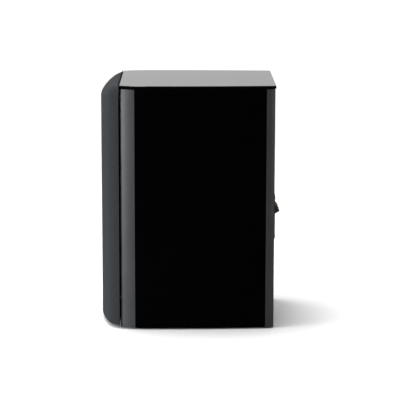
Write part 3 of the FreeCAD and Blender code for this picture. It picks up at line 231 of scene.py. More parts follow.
def finish_tree(tree, source, geometry):
    """Realises the instances, sets the finish and ends the tree."""
    real = add_node(tree, "GeometryNodeRealizeInstances", {"Geometry": geometry})
    coated = add_node(tree, "GeometryNodeSetMaterial",
                      {"Geometry": real.outputs["Geometry"], "Material": source.outputs["Finish"]})
    add_node(tree, "NodeGroupOutput", {"Geometry": coated.outputs["Geometry"]})
    return tree


# ---------------------------------------------------------------- finishes

def satin_paint():
    """Graphite nitrocellulose paint, sprayed on sealed MDF and left satin.

    The last dusty pass of the gun leaves a fine pebble, so highlights spread softly.
    """
    look = new_look("satin_graphite_paint_on_mdf", specular_ior_level=0.5)
    # The pebble is about 0.3 mm across on the real thing and is drawn at 1.2 mm so that it shows.
    return dress(look, (35.0, 3.0), "2c2e31", "303235", (8.0, 3.0), (0.38, 0.47),
                 height_from=(1.2, 2.0), depth_mm=0.012)


def gloss_lacquer():
    """Black polyester lacquer, sprayed thick on MDF, flatted and buffed.

    It mirrors like glass, with a very slow ripple that buffing leaves.
    """
    look = new_look("gloss_black_polyester_lacquer", specular_ior_level=0.5)
    return dress(look, (60.0, 3.0), "020203", "030304", (90.0, 3.0), (0.03, 0.05),
                 height_from=(45.0, 0.0), depth_mm=0.004)


def raw_board():
    """Sanded MDF, pressed from brown wood fibre and sealed once: warm tan, matt, faintly furry."""
    look = new_look("sealed_medium_density_fibreboard", specular_ior_level=0.3)
    return dress(look, (1.5, 6.0), "a1815c", "b9976d", (6.0, 3.0), (0.78, 0.9),
                 height_from=(0.9, 4.0), depth_mm=0.05)


def black_glass():
    """Float glass, painted black on its underside: dead flat, so it holds a clean reflection."""
    look = new_look("polished_black_float_glass", ior=1.52, specular_ior_level=0.5)
    return dress(look, (70.0, 3.0), "040405", "060607", (50.0, 3.0), (0.015, 0.03))


def foam_board():
    """Matt black paper-faced foam board, die cut: no shine at all, with a soft paper grain."""
    look = new_look("matt_black_foam_board", specular_ior_level=0.15)
    return dress(look, (4.0, 3.0), "0b0b0c", "111112", (2.0, 3.0), (0.9, 1.0),
                 height_from=(1.0, 4.0), depth_mm=0.02)


def rubber(name, dark, light, low, high, grain_mm=1.0, depth_mm=0.02):
    """Carbon-filled rubber, moulded in a blasted tool: dark, dull and slightly dusty."""
    look = new_look(name, specular_ior_level=0.4)
    return dress(look, (9.0, 3.0), dark, light, (5.0, 3.0), (low, high),
                 height_from=(grain_mm, 3.0), depth_mm=depth_mm)


def moulded(name, dark, light, low, high, grain_mm, depth_mm, **constants):
    """Injection-moulded plastic: the spark-eroded tool leaves an even fine grain, softly shiny."""
    look = new_look(name, **constants)
    return dress(look, (14.0, 3.0), dark, light, (4.0, 3.0), (low, high),
                 height_from=(grain_mm, 2.0), depth_mm=depth_mm)


def cell_foam(name, dark, light, cell_mm, depth_mm):
    """Polyurethane foam, blown and cut: open cells, with painted shade darkening their mouths
    against their walls.
    """
    look = new_look(name, specular_ior_level=0.2)
    cells = add_node(look.tree, "ShaderNodeTexVoronoi",
                     {"Scale": 1 / (cell_mm * MM), "Vector": look.here}).outputs["Distance"]
    # The colour darkens where the cells dip, just as the bump does: painted shade in the cell
    # mouths.
    return dress(look, cells, dark, light, (5.0, 3.0), (0.88, 1.0),
                 height_from=cells, depth_mm=depth_mm, span=(0.15, 0.75))


def bright_metal(name, dark, light, low, high, turn_mm=None, centre=None):
    """Plated or turned metal: bright, with faint tool rings where it came off a lathe."""
    look = new_look(name, centre, metallic=1.0)
    marks = (1.2, 3.0)
    if turn_mm:
        marks = add_node(look.tree, "ShaderNodeTexWave",
                         {"Scale": WAVE_STEP / (turn_mm * MM), "Distortion": 0.4,
                          "Vector": look.here},
                         wave_type="RINGS", rings_direction="Z").outputs["Fac"]
    return dress(look, (6.0, 3.0), dark, light, (3.0, 3.0), (low, high),
                 height_from=marks, depth_mm=0.01)


def ferrite():
    """Barium ferrite, pressed, fired and ground flat: charcoal ceramic with grinding marks."""
    look = new_look("ground_barium_ferrite", specular_ior_level=0.6)
    marks = add_node(look.tree, "ShaderNodeTexWave",
                     {"Scale": 300.0, "Distortion": 3.0, "Detail": 2.0, "Vector": look.here},
                     bands_direction="DIAGONAL").outputs["Fac"]
    return dress(look, (3.0, 5.0), "1d1e20", "2b2c2f", (7.0, 3.0), (0.42, 0.6),
                 height_from=marks, depth_mm=0.01)


def weave(name, thread, gap_shade, pitch_mm, roughness, depth_mm, sheen=0.0,
          cloth_map=None, centre=None):
    """Plain weave: each thread goes over one and under the next, and the dips and holes between
    threads get painted shade.

    It lies in the cloth's own map, in metres along the cloth, or else in a driver's plane.
    """
    look = new_look(name, centre, roughness=roughness, specular_ior_level=0.12,
                    sheen_weight=sheen, sheen_roughness=0.5)
    tree, flat = look.tree, look.here
    if cloth_map:
        flat = add_node(tree, "ShaderNodeUVMap", uv_map=cloth_map).outputs["UV"]
    parts = add_node(tree, "ShaderNodeSeparateXYZ", {"Vector": flat}).outputs
    waves = []
    for part in (parts["X"], parts["Y"]):
        angle = add_node(tree, "ShaderNodeMath", {0: part, 1: math.pi / (pitch_mm * MM)},
                         operation="MULTIPLY").outputs[0]
        waves.append(add_node(tree, "ShaderNodeMath", {0: angle}, operation="SINE").outputs[0])
    over = add_node(tree, "ShaderNodeMath", {0: waves[0], 1: waves[1]},
                    operation="MULTIPLY").outputs[0]
    warp, weft = (add_node(tree, "ShaderNodeMath", {0: wave}, operation="ABSOLUTE").outputs[0]
                  for wave in waves)
    which = add_node(tree, "ShaderNodeMath", {0: over, 1: 0.0},
                     operation="GREATER_THAN").outputs[0]
    height = add_node(tree, "ShaderNodeMix",
                      {"Factor": which, "A": warp, "B": weft}).outputs["Result"]
    # A slow fleck, as of unevenly spun yarn, drawn coarse at 3.2 mm so that it shows.
    place = add_node(tree, "ShaderNodeTexCoord").outputs["Object"]
    fleck = add_node(tree, "ShaderNodeTexNoise",
                     {"Scale": 1 / (3.2 * MM), "Detail": 2.0, "Vector": place}).outputs["Fac"]
    shade = add_node(tree, "ShaderNodeMath", {0: fleck, 1: 0.9, 2: -0.45},
                     operation="MULTIPLY_ADD").outputs[0]
    # The colour follows the threads' height and falls to near black where they dip and between
    # them: painted shade. The fleck is the yarn's own tone.
    painted_shade_and_fleck = add_node(tree, "ShaderNodeMath", {0: height, 1: shade}, operation="ADD").outputs[0]
    return dress(look, painted_shade_and_fleck, gap_shade, thread, height_from=height, depth_mm=depth_mm, span=(0.05, 0.6))


def cone_polymer(name, dark, light, centre, ring_mm, depth_mm):
    """Mineral-filled polypropylene, vacuum formed: a dark satin skin with rings from the tool."""
    look = new_look(name, centre, specular_ior_level=0.5)
    rings = add_node(look.tree, "ShaderNodeTexWave",
                     {"Scale": WAVE_STEP / (ring_mm * MM), "Distortion": 0.3, "Vector": look.here},
                     wave_type="RINGS", rings_direction="Z").outputs["Fac"]
    return dress(look, (3.5, 5.0), dark, light, (6.0, 3.0), (0.38, 0.5),
                 height_from=rings, depth_mm=depth_mm)


def wound_wire(name, axis):
    """Enamelled copper wire, wound turn against turn: orange-brown, with a painted highlight along
    each turn and painted shade between turns.
    """
    look = new_look(name, metallic=1.0, coat_weight=0.6, coat_roughness=0.12)
    # The wire is 0.3 mm thick on the real coil and is drawn at 0.8 mm so that its turns show.
    turns = add_node(look.tree, "ShaderNodeTexWave",
                     {"Scale": WAVE_STEP / (0.8 * MM), "Vector": look.here},
                     bands_direction=axis).outputs["Fac"]
    # The colour follows the turns: a painted highlight on each turn's crown, and painted shade in
    # the groove between turns.
    return dress(look, turns, "6b2f12", "c56a35", (2.0, 3.0), (0.25, 0.35),
                 height_from=turns, depth_mm=0.1, span=(0.1, 0.7))


def circuit_board():
    """Glass-epoxy board under green solder mask, with copper tracks standing proud."""
    look = new_look("solder_masked_glass_epoxy", coat_weight=0.4, coat_roughness=0.2)
    tracks = add_node(look.tree, "ShaderNodeTexBrick",
                      {"Scale": 22.0, "Mortar Size": 0.04, "Mortar Smooth": 0.2, "Bias": 0.0,
                       "Color1": linear("0d3a22"), "Color2": linear("10442a"),
                       "Mortar": linear("1d6a41"), "Vector": look.here},
                      offset=0.37, squash=1.4).outputs
    return dress(look, tracks["Color"], roughness_from=(4.0, 3.0), roughness=(0.3, 0.42),
                 height_from=tracks["Fac"], depth_mm=0.04)


def paired_insulation():
    """Extruded PVC on the hook-up wire, softly shiny: red on the positive side, black opposite."""
    look = new_look("extruded_pvc_insulation", specular_ior_level=0.5)
    across = add_node(look.tree, "ShaderNodeSeparateXYZ", {"Vector": look.here}).outputs["X"]
    side = add_node(look.tree, "ShaderNodeMath", {0: across, 1: 0.0},
                    operation="GREATER_THAN").outputs[0]
    return dress(look, side, "8e1713", "18181a", (5.0, 3.0), (0.35, 0.48),
                 height_from=(1.5, 3.0), depth_mm=0.02, span=(0.4, 0.6))


# ---------------------------------------------------------------- sizes and colours

class ClothSettings(bpy.types.PropertyGroup):
    """The grille's woven cloth."""
    thickness: FloatProperty(name="Cloth thickness", description="Thickness of the woven cloth",
                             default=0.0008, min=0.0003, max=0.001, unit="LENGTH")
    pitch: FloatProperty(name="Thread pitch",
                         description="Distance from thread to thread, in millimetres",
                         default=1.2, min=0.3, max=4.0)
    columns: IntProperty(name="Columns", description="Faces across the cloth",
                         default=150, min=40, max=200)
    rows: IntProperty(name="Rows", description="Faces up the cloth", default=210, min=60, max=240)


class FoamSettings(bpy.types.PropertyGroup):
    """The cabinet's wave-cut damping foam."""
    wave: FloatProperty(name="Wave length", description="Distance from peak to peak of the cut",
                        default=0.028, min=0.01, max=0.06, unit="LENGTH")
    depth: FloatProperty(name="Wave depth", description="How deep the cut goes between the peaks",
                         default=0.0065, min=0.001, max=0.009, unit="LENGTH")


class ScrewSettings(bpy.types.PropertyGroup):
    """Cross-head screws."""
    recess: FloatProperty(name="Recess width", description="Width of the cross recess",
                          default=0.0009, min=0.0003, max=0.002, unit="LENGTH")
    pitch: FloatProperty(name="Thread pitch", description="Rise of the thread in one turn",
                         default=0.0014, min=0.0005, max=0.003, unit="LENGTH")


class CoilSettings(bpy.types.PropertyGroup):
    """The crossover's air-cored coils."""
    wire: FloatProperty(name="Wire diameter", description="Diameter of the enamelled wire",
                        default=0.0012, min=0.0006, max=0.002, unit="LENGTH")


class StageSettings(bpy.types.PropertyGroup):
    """Camera, floor and lights."""
    distance: FloatProperty(name="Camera distance",
                            description="Distance from the near side to the camera",
                            default=2.492, min=0.5, max=6.0, unit="LENGTH")
    height: FloatProperty(name="Camera height", description="Height of the camera above the floor",
                          default=0.655, min=0.0, max=3.0, unit="LENGTH")
    pitch: FloatProperty(name="Camera pitch", description="How far the camera looks down",
                         default=math.radians(10.6), min=0.0, max=1.5, subtype="ANGLE")
    lens: FloatProperty(name="Lens", description="Focal length in millimetres on a 36 mm sensor",
                        default=161.7, min=20.0, max=300.0)
    shift: FloatProperty(name="Side shift",
                         description="Sideways shift of the lens, as a share of the frame",
                         default=0.04, min=-0.2, max=0.2)
    sky: FloatProperty(name="Sky", description="Brightness of the white room above the floor",
                       default=0.84, min=0.0, max=4.0)
    dusk: FloatProperty(name="Dark side", description="Brightness of the room on the camera's side",
                        default=0.05, min=0.0, max=4.0)
    fill: FloatProperty(name="Fill",
                        description="How much more of the room's light falls on matt things",
                        default=1.15, min=0.5, max=4.0)
    above: FloatProperty(name="Top light", description="Power of the softbox over the speaker",
                         default=36.0, min=0.0, max=2000.0, subtype="POWER")
    key: FloatProperty(name="Key light", description="Power of the softbox in front of the grille",
                       default=66.0, min=0.0, max=2000.0, subtype="POWER")
    rear: FloatProperty(name="Rear light", description="Power of the softbox behind the speaker",
                        default=6.0, min=0.0, max=2000.0, subtype="POWER")


# ---------------------------------------------------------------- pieces

class SPEAKER_OT_cabinet(bpy.types.Operator):
    """Paint, lacquer and glass on the cabinet's panels"""
    bl_idname = "speaker.cabinet"
    bl_label = "Cabinet"

    def execute(self, context):
        cover(satin_paint(), "front_baffle", "rear_panel")
        cover(gloss_lacquer(), "left_side_panel", "right_side_panel")
        cover(raw_board(), "bottom_panel", "top_panel", "shelf_brace")
        cover(black_glass(), "top_plate")
        cover(foam_board(), "plate_spacer")
        cover(rubber("moulded_black_nitrile_rubber", "131314", "1c1c1d", 0.7, 0.85), "rubber_feet")
        return {"FINISHED"}


class SPEAKER_OT_grille_cloth(bpy.types.Operator):
    """The woven cloth, stretched over the grille's frame"""
    bl_idname = "speaker.grille_cloth"
    bl_label = "Grille cloth"

    def execute(self, context):
        sizes = context.scene.cloth_settings
        low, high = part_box("grille_cloth")
        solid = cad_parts["grille_cloth"].data
        skin = BVHTree.FromPolygons([v.co for v in solid.vertices],
                                    [p.vertices for p in solid.polygons])
        middle, half = (low.x + high.x) / 2, (high.x - low.x) / 2
        across = [middle + half * math.sin(a)
                  for a in np.linspace(-math.pi / 2, math.pi / 2, sizes.columns + 1)]
        # Rows lie closer together near the top and the bottom, where the cloth rolls over.
        swing = np.linspace(0, math.pi, sizes.rows + 1)
        bunched = low.z + (high.z - low.z) * (1 - np.cos(swing)) / 2
        even = np.linspace(low.z, high.z, sizes.rows + 1)
        ahead = 0.05  # each ray starts this far in front of the cloth
        inset = 2e-5  # and this far inside its outline, so that it hits
        rows = []
        for z in 0.5 * bunched + 0.5 * even:
            row = []
            for x in across:
                start = Vector((min(max(x, low.x + inset), high.x - inset), low.y - ahead,
                                min(max(z, low.z + inset), high.z - inset)))
                spot = skin.ray_cast(start, Vector((0, 1, 0)))[0]
                y = high.y if spot is None else min(spot.y, high.y)
                row.append((x, y, z))
            row[0], row[-1] = (low.x, high.y, z), (high.x, high.y, z)
            rows.append(row)
        # Under the bottom edge the cloth folds back to the frame in three steps.
        folds = [[(x, y + (high.y - y) * share, low.z) for (x, y, _) in rows[0]]
                 for share in (0.999, 0.66, 0.33)]
        rows = np.array(folds + rows)
        smoothing_rounds, furthest = 3, 0.0002
        for _ in range(smoothing_rounds):
            inner = (rows[2:, 1:-1] + rows[:-2, 1:-1] + rows[1:-1, 2:] + rows[1:-1, :-2]) / 4
            keep = rows[1:-1, 1:-1]
            shift = 0.5 * (inner - keep)
            shift[:len(folds) + 1] = 0
            rows[1:-1, 1:-1] = keep + np.clip(shift, -furthest, furthest)
        mesh = grid_mesh("grille_cloth_sheet", rows)
        along = np.zeros(rows.shape[:2] + (2,))
        along[:, 1:, 0] = np.cumsum(np.linalg.norm(np.diff(rows, axis=1), axis=2), axis=1)
        along[:, :, 0] -= along[:, :, 0].mean(axis=1, keepdims=True)
        climb = np.cumsum(np.linalg.norm(np.diff(rows, axis=0), axis=2), axis=0)
        along[1:, :, 1] = climb.mean(axis=1, keepdims=True)
        flat = along.reshape(-1, 2)
        layer = mesh.uv_layers.new(name="cloth")
        for loop in mesh.loops:
            layer.data[loop.index].uv = flat[loop.vertex_index]
        work = bpy.data.objects.new("cloth_work", mesh)
        context.scene.collection.objects.link(work)
        thick = work.modifiers.new("thickness", "SOLIDIFY")
        thick.thickness = sizes.thickness
        thick.offset = -1
        made = new_piece("grille_cloth_sheet", evaluated(work, "grille_cloth_sheet"), "grille",
                         ["grille_cloth"])
        # Polyester yarn, dyed charcoal and woven open so that sound passes; its dull threads
        # scatter light forward, which lifts the cloth a little where it turns away. Such yarns
        # are usually about 0.6 mm apart, and are drawn at the pitch above so that they show.
        # The near black between its threads is painted shade.
        made.data.materials.append(weave("woven_charcoal_polyester", "282b2e", "07090b",
                                         sizes.pitch, 0.9, 0.18, 0.03, cloth_map="cloth"))
        return {"FINISHED"}


class SPEAKER_OT_grille_frame(bpy.types.Operator):
    """Moulded finishes on the grille's frame, pegs and sockets"""
    bl_idname = "speaker.grille_frame"
    bl_label = "Grille frame"

    def execute(self, context):
        cover(moulded("black_abs_frame", "17181a", "1d1e20", 0.5, 0.62, 0.9, 0.02), "grille_frame")
        cover(moulded("natural_nylon_pegs", "b9b7ad", "c8c6bc", 0.35, 0.5, 0.8, 0.01,
                      subsurface_weight=0.1), "grille_pegs")
        cover(rubber("soft_black_tpe_sockets", "161617", "1f1f20", 0.6, 0.75), "grille_sockets")
        return {"FINISHED"}


class SPEAKER_OT_damping(bpy.types.Operator):
    """Wave-cut damping foam on the cabinet's inner walls"""
    bl_idname = "speaker.damping"
    bl_label = "Damping foam"

    def execute(self, context):
        sizes = context.scene.foam_settings
        # Such cells are usually about 0.5 mm across, and are drawn at 1.6 mm so that they show.
        finish = cell_foam("open_cell_polyurethane_foam_painted_shade", "2a2b2e", "4a4c50", 1.6, 0.3)
        step = 0.004  # from one corner of the mesh to the next
        rim_drop, rim_width = 0.002, 0.003  # how the cut edges round over
        for number, points in enumerate(islands("damping_foam"), start=1):
            low, high = points.min(0), points.max(0)
            thin = int(np.argmin(high - low))
            wide = [axis for axis in range(3) if axis != thin]
            counts = [int((high - low)[axis] / step) + 1 for axis in wide]
            grid = [np.linspace(low[axis], high[axis], count)
                    for axis, count in zip(wide, counts)]
            inward = -1 if (low + high)[thin] > 0 else 1
            back = high[thin] if inward < 0 else low[thin]
            deep = (high - low)[thin]
            work = bmesh.new()
            layers = []
            for face in (0, 1):
                layer = []
                for a in grid[0]:
                    line = []
                    for b in grid[1]:
                        wave = (math.cos(2 * math.pi * a / sizes.wave)
                                * math.cos(2 * math.pi * b / sizes.wave) + 1) / 2
                        rim = min(a - low[wide[0]], high[wide[0]] - a,
                                  b - low[wide[1]], high[wide[1]] - b)
                        rise = (deep - sizes.depth * (1 - wave)
                                - rim_drop * math.exp(-rim / rim_width))
                        spot = [0.0, 0.0, 0.0]
                        spot[wide[0]], spot[wide[1]] = a, b
                        spot[thin] = back if face == 0 else back + inward * rise
                        line.append(work.verts.new(spot))
                    layer.append(line)
                layers.append(layer)
            for layer in layers:
                for i in range(counts[0] - 1):
                    for j in range(counts[1] - 1):
                        work.faces.new((layer[i][j], layer[i + 1][j],
                                        layer[i + 1][j + 1], layer[i][j + 1]))
            edge = ([(i, 0) for i in range(counts[0])]
                    + [(counts[0] - 1, j) for j in range(1, counts[1])]
                    + [(i, counts[1] - 1) for i in range(counts[0] - 2, -1, -1)]
                    + [(0, j) for j in range(counts[1] - 2, 0, -1)])
            for (i, j), (m, n) in zip(edge, edge[1:] + edge[:1]):
                work.faces.new((layers[0][i][j], layers[0][m][n],
                                layers[1][m][n], layers[1][i][j]))
            bmesh.ops.recalc_face_normals(work, faces=work.faces)
            mesh = bpy.data.meshes.new(f"damping_pad_{number}")
            work.to_mesh(mesh)
            work.free()
            mesh.materials.append(finish)
            pad = new_piece(f"damping_pad_{number}", mesh, "cabinet",
                            ["damping_foam"])
        return {"FINISHED"}


def screw_tree():
    """One cross-head screw at each point, turned to the point's own direction."""
    tree, source = geometry_tree("cross_head_screws", {
        "Head radius": 0.0036, "Head height": 0.002, "Shank radius": 0.0018,
        "Shank length": 0.013, "Recess width": 0.0009, "Thread pitch": 0.0014})
    size = {output.name: output for output in source.outputs}
    for name, operation, first, second in (
            ("Barrel height", "MULTIPLY", "Head height", 0.6),
            ("Dome height", "MULTIPLY", "Head height", 0.4),
            ("Head middle", "MULTIPLY", "Head height", -0.7),
            ("Recess length", "MULTIPLY", "Head radius", 1.1),
            ("Root radius", "MULTIPLY", "Shank radius", 0.74),
            ("Shank drop", "MULTIPLY", "Shank length", -0.5),
            ("Shank middle", "SUBTRACT", "Shank drop", "Head height"),
            ("Thread length", "MULTIPLY", "Shank length", 0.85),
            ("Thread turns", "DIVIDE", "Thread length", "Thread pitch"),
            ("Ridge radius", "MULTIPLY", "Shank radius", 0.24),
            ("Thread drop", "MULTIPLY", "Shank length", -0.96),
            ("Thread start", "SUBTRACT", "Thread drop", "Head height")):
        size[name] = add_node(tree, "ShaderNodeMath",
                              {0: size.get(first, first), 1: size.get(second, second)},
                              operation=operation).outputs[0]

    barrel = add_node(tree, "GeometryNodeMeshCylinder",
                      {"Vertices": 28, "Radius": size["Head radius"],
                       "Depth": size["Barrel height"]}).outputs
    dome = add_node(tree, "GeometryNodeExtrudeMesh",
                    {"Individual": False, "Mesh": barrel["Mesh"], "Selection": barrel["Top"],
                     "Offset Scale": size["Dome height"]}).outputs
    crown = add_node(tree, "GeometryNodeScaleElements",
                     {"Scale": 0.72, "Geometry": dome["Mesh"], "Selection": dome["Top"]})
    drop = add_node(tree, "ShaderNodeCombineXYZ", {"Z": size["Head middle"]})
    head = add_node(tree, "GeometryNodeTransform",
                    {"Geometry": crown.outputs["Geometry"], "Translation": drop.outputs[0]})
    recess = add_node(tree, "GeometryNodeMeshBoolean", {"Mesh 1": head.outputs["Geometry"]},
                      operation="DIFFERENCE", solver="EXACT")
    for along, across in (("Recess length", "Recess width"), ("Recess width", "Recess length")):
        sides = add_node(tree, "ShaderNodeCombineXYZ",
                         {"X": size[along], "Y": size[across], "Z": size["Head height"]})
        bar = add_node(tree, "GeometryNodeMeshCube", {"Size": sides.outputs[0]})
        tree.links.new(bar.outputs["Mesh"], recess.inputs["Mesh 2"])

    core = add_node(tree, "GeometryNodeMeshCylinder",
                    {"Vertices": 16, "Radius": size["Root radius"], "Depth": size["Shank length"]})
    helix = add_node(tree, "GeometryNodeCurveSpiral",
                     {"Resolution": 12, "Rotations": size["Thread turns"],
                      "Start Radius": size["Root radius"], "End Radius": size["Root radius"],
                      "Height": size["Thread length"]})
    ridge = add_node(tree, "GeometryNodeCurvePrimitiveCircle",
                     {"Resolution": 3, "Radius": size["Ridge radius"]})
    thread = add_node(tree, "GeometryNodeCurveToMesh",
                      {"Fill Caps": True, "Curve": helix.outputs["Curve"],
                       "Profile Curve": ridge.outputs["Curve"]})
    whole = add_node(tree, "GeometryNodeJoinGeometry")
    tree.links.new(recess.outputs["Mesh"], whole.inputs["Geometry"])
    for part, height in ((core, "Shank middle"), (thread, "Thread start")):
        drop = add_node(tree, "ShaderNodeCombineXYZ", {"Z": size[height]})
        lowered = add_node(tree, "GeometryNodeTransform",
                           {"Geometry": part.outputs["Mesh"], "Translation": drop.outputs[0]})
        tree.links.new(lowered.outputs["Geometry"], whole.inputs["Geometry"])

    facing = add_node(tree, "GeometryNodeInputNamedAttribute", {"Name": "facing"},
                      data_type="FLOAT_VECTOR").outputs["Attribute"]
    aimed = add_node(tree, "FunctionNodeAlignRotationToVector", {"Vector": facing}, axis="Z")
    # A quarter turn would bring the cross back on itself, so each is left at a chance angle.
    spun = add_node(tree, "FunctionNodeRandomValue",
                    {"Min": (0, 0, 0), "Max": (0, 0, 1.5), "Seed": 7}, data_type="FLOAT_VECTOR")
    turned = add_node(tree, "FunctionNodeRotateRotation",
                      {"Rotation": aimed.outputs["Rotation"], "Rotate By": spun.outputs["Value"]},
                      rotation_space="LOCAL")
    placed = add_node(tree, "GeometryNodeInstanceOnPoints",
                      {"Points": source.outputs["Geometry"], "Instance": whole.outputs["Geometry"],
                       "Rotation": turned.outputs["Rotation"]})
    return finish_tree(tree, source, placed.outputs["Instances"])


def screw_points(node):
    """For each screw of a CAD node: its head's top, the way it faces, and its measured sizes."""
    head_slack, shank_gap = 2e-4, 5e-4
    found = []
    for points in islands(node):
        centre = (points.min(0) + points.max(0)) / 2
        spread = np.linalg.svd(points - points.mean(0), full_matrices=False)[2]
        axis = spread[0]
        along = (points - centre) @ axis
        radial = np.linalg.norm((points - centre) - np.outer(along, axis), axis=1)
        if radial[along > 0].max() < radial[along < 0].max():
            axis, along = -axis, -along
        axis = axis / np.linalg.norm(axis)
        wide = radial > radial.max() - head_slack
        head = (along[wide].min(), along.max())
        shank = radial[along < head[0] - shank_gap].max()
        found.append({"spot": centre + axis * head[1], "facing": axis,
                      "head_radius": radial.max(), "head_height": head[1] - head[0],
                      "shank": shank, "length": head[0] - along.min()})
    return found


class SPEAKER_OT_screws(bpy.types.Operator):
    """Cross-head screws for the drivers, the cup and the board"""
    bl_idname = "speaker.screws"
    bl_label = "Screws"

    def execute(self, context):
        sizes = context.scene.screw_settings
        # Steel, thread rolled and black oxided: nearly black, with a low oily glint on the edges.
        finish = bright_metal("black_oxided_steel", "1a1b1d", "28292c", 0.35, 0.5)
        tree = screw_tree()
        for node in ("woofer_screws", "tweeter_screws", "small_screws"):
            screws = screw_points(node)
            mesh = bpy.data.meshes.new(node + "_points")
            mesh.from_pydata([list(s["spot"]) for s in screws], [], [])
            facing = mesh.attributes.new("facing", "FLOAT_VECTOR", "POINT")
            ways = np.array([s["facing"] for s in screws], np.float32)
            facing.data.foreach_set("vector", ways.ravel())
            middle = {key: float(np.median([s[key] for s in screws]))
                      for key in ("head_radius", "head_height", "shank", "length")}
            made = grown(tree, mesh, node + "_cut", finish, {
                "Head radius": middle["head_radius"], "Head height": middle["head_height"],
                "Shank radius": middle["shank"], "Shank length": middle["length"],
                "Recess width": sizes.recess, "Thread pitch": sizes.pitch})
            new_piece(node + "_cut", made, "cabinet", [node], smooth=False)
        return {"FINISHED"}


class SPEAKER_OT_woofer(bpy.types.Operator):
    """Finishes on the woofer's parts, and its corrugated cloth spider"""
    bl_idname = "speaker.woofer"
    bl_label = "Woofer"

    def execute(self, context):
        low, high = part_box("woofer_cone")
        centre = ((low.x + high.x) / 2, high.y, (low.z + high.z) / 2)
        cover(moulded("black_cast_alloy_basket", "1b1c1e", "222326", 0.5, 0.62, 1.0, 0.03,
                      metallic=0.3), "woofer_basket")
        cover(rubber("closed_cell_gasket_foam", "18181a", "222224", 0.85, 0.95, 0.8, 0.06),
              "woofer_gasket", "tweeter_gasket", "cup_gasket")
        cover(rubber("satin_black_trim_rubber", "161718", "1d1e1f", 0.5, 0.62), "woofer_trim_ring")
        cover(rubber("butyl_surround_rubber", "151516", "1b1b1c", 0.45, 0.58, 1.4, 0.015),
              "woofer_surround")
        cover(cone_polymer("mineral_filled_polypropylene", "202124", "2a2b2f", centre, 1.6, 0.03),
              "woofer_cone")
        cover(cone_polymer("polypropylene_dust_cap", "1b1c1f", "242528", centre, 0.9, 0.015),
              "dust_cap")
        cover(bright_metal("aluminium_former_foil", "b4b6b9", "cfd1d3", 0.28, 0.4),
              "voice_coil_former")
        cover(wound_wire("enamelled_copper_winding_painted_highlights", "Y"), "voice_coil_winding", "tweeter_coil")
        cover(bright_metal("zinc_plated_turned_steel", "a9abad", "c3c4c2", 0.3, 0.42, 0.8, centre),
              "woofer_front_plate", "woofer_pole_plate", "tweeter_front_plate",
              "tweeter_pole_plate", "post_nuts")
        cover(ferrite(), "woofer_magnet", "tweeter_magnet", "coil_cores")
        cover(bright_metal("tinned_brass_tags", "b8a468", "d3bf82", 0.25, 0.38),
              "woofer_terminals", "tweeter_terminals", "solder_tags")

        low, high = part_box("woofer_spider")
        solid = np.array([v.co[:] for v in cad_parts["woofer_spider"].data.vertices])
        radial = np.hypot(solid[:, 0] - centre[0], solid[:, 2] - centre[2])
        inner, outer = radial.min(), radial.max()
        thick, clearance = 0.0004, 0.0001
        depth = (high.y - low.y) - thick - clearance
        waves, fade_speed = 4, 9  # the waves die away over a ninth of the width at both rims
        circles, spokes = 73, 96
        rings = []
        for share in np.linspace(0, 1, circles):
            radius = inner + (outer - inner) * share
            fade = min(1.0, (1 - share) * fade_speed, share * fade_speed)
            crest = 0.5 - 0.5 * math.cos(2 * math.pi * waves * share)
            back = low.y + thick + clearance + depth * (1 - fade * crest)
            rings.append([(centre[0] + radius * math.cos(a), min(back, high.y),
                           centre[2] + radius * math.sin(a))
                          for a in np.linspace(0, 2 * math.pi, spokes + 1)[:-1]])
        work = bpy.data.objects.new("spider_work",
                                    grid_mesh("spider_cloth", rings, closed=True))
        context.scene.collection.objects.link(work)
        wall = work.modifiers.new("thickness", "SOLIDIFY")
        wall.thickness = thick
        wall.offset = 1
        made = new_piece("spider_cloth", evaluated(work, "spider_cloth"), "cabinet",
                         ["woofer_spider"])
        # Cotton and polyester, soaked in phenolic resin and hot pressed into waves: stiff, tan.
        # Its yarns are usually about 0.5 mm apart, and are drawn at 1 mm so that they show.
        # The darker brown between its threads is painted shade.
        made.data.materials.append(weave("resin_treated_cotton", "b98a4a", "6f4c22", 1.0,
                                         0.75, 0.1, centre=centre))
        # The waves draw the cloth in as they are pressed, so its flat blank is wider than it.
        return {"FINISHED"}


class SPEAKER_OT_tweeter(bpy.types.Operator):
    """Finishes on the tweeter's parts"""
    bl_idname = "speaker.tweeter"
    bl_label = "Tweeter"

    def execute(self, context):
        low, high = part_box("tweeter_dome")
        centre = ((low.x + high.x) / 2, high.y, (low.z + high.z) / 2)
        cover(moulded("satin_black_polycarbonate", "191a1c", "202124", 0.4, 0.5, 1.0, 0.012),
              "tweeter_faceplate")
        # Silk, woven fine and doped with lacquer: black with a soft broad glint. Its yarns
        # are usually about 0.2 mm apart, and are drawn at 0.7 mm so that they show.
        # The deeper black between its threads is painted shade.
        cover(weave("doped_woven_silk", "25262a", "141416", 0.7, 0.42, 0.03, centre=centre),
              "tweeter_dome", "tweeter_surround")
        return {"FINISHED"}


class SPEAKER_OT_port(bpy.types.Operator):
    """Moulded finish on the reflex port"""
    bl_idname = "speaker.port"
    bl_label = "Reflex port"

    def execute(self, context):
        cover(moulded("matt_black_abs_port", "161719", "1d1e20", 0.5, 0.64, 1.0, 0.02), "port_tube")
        return {"FINISHED"}


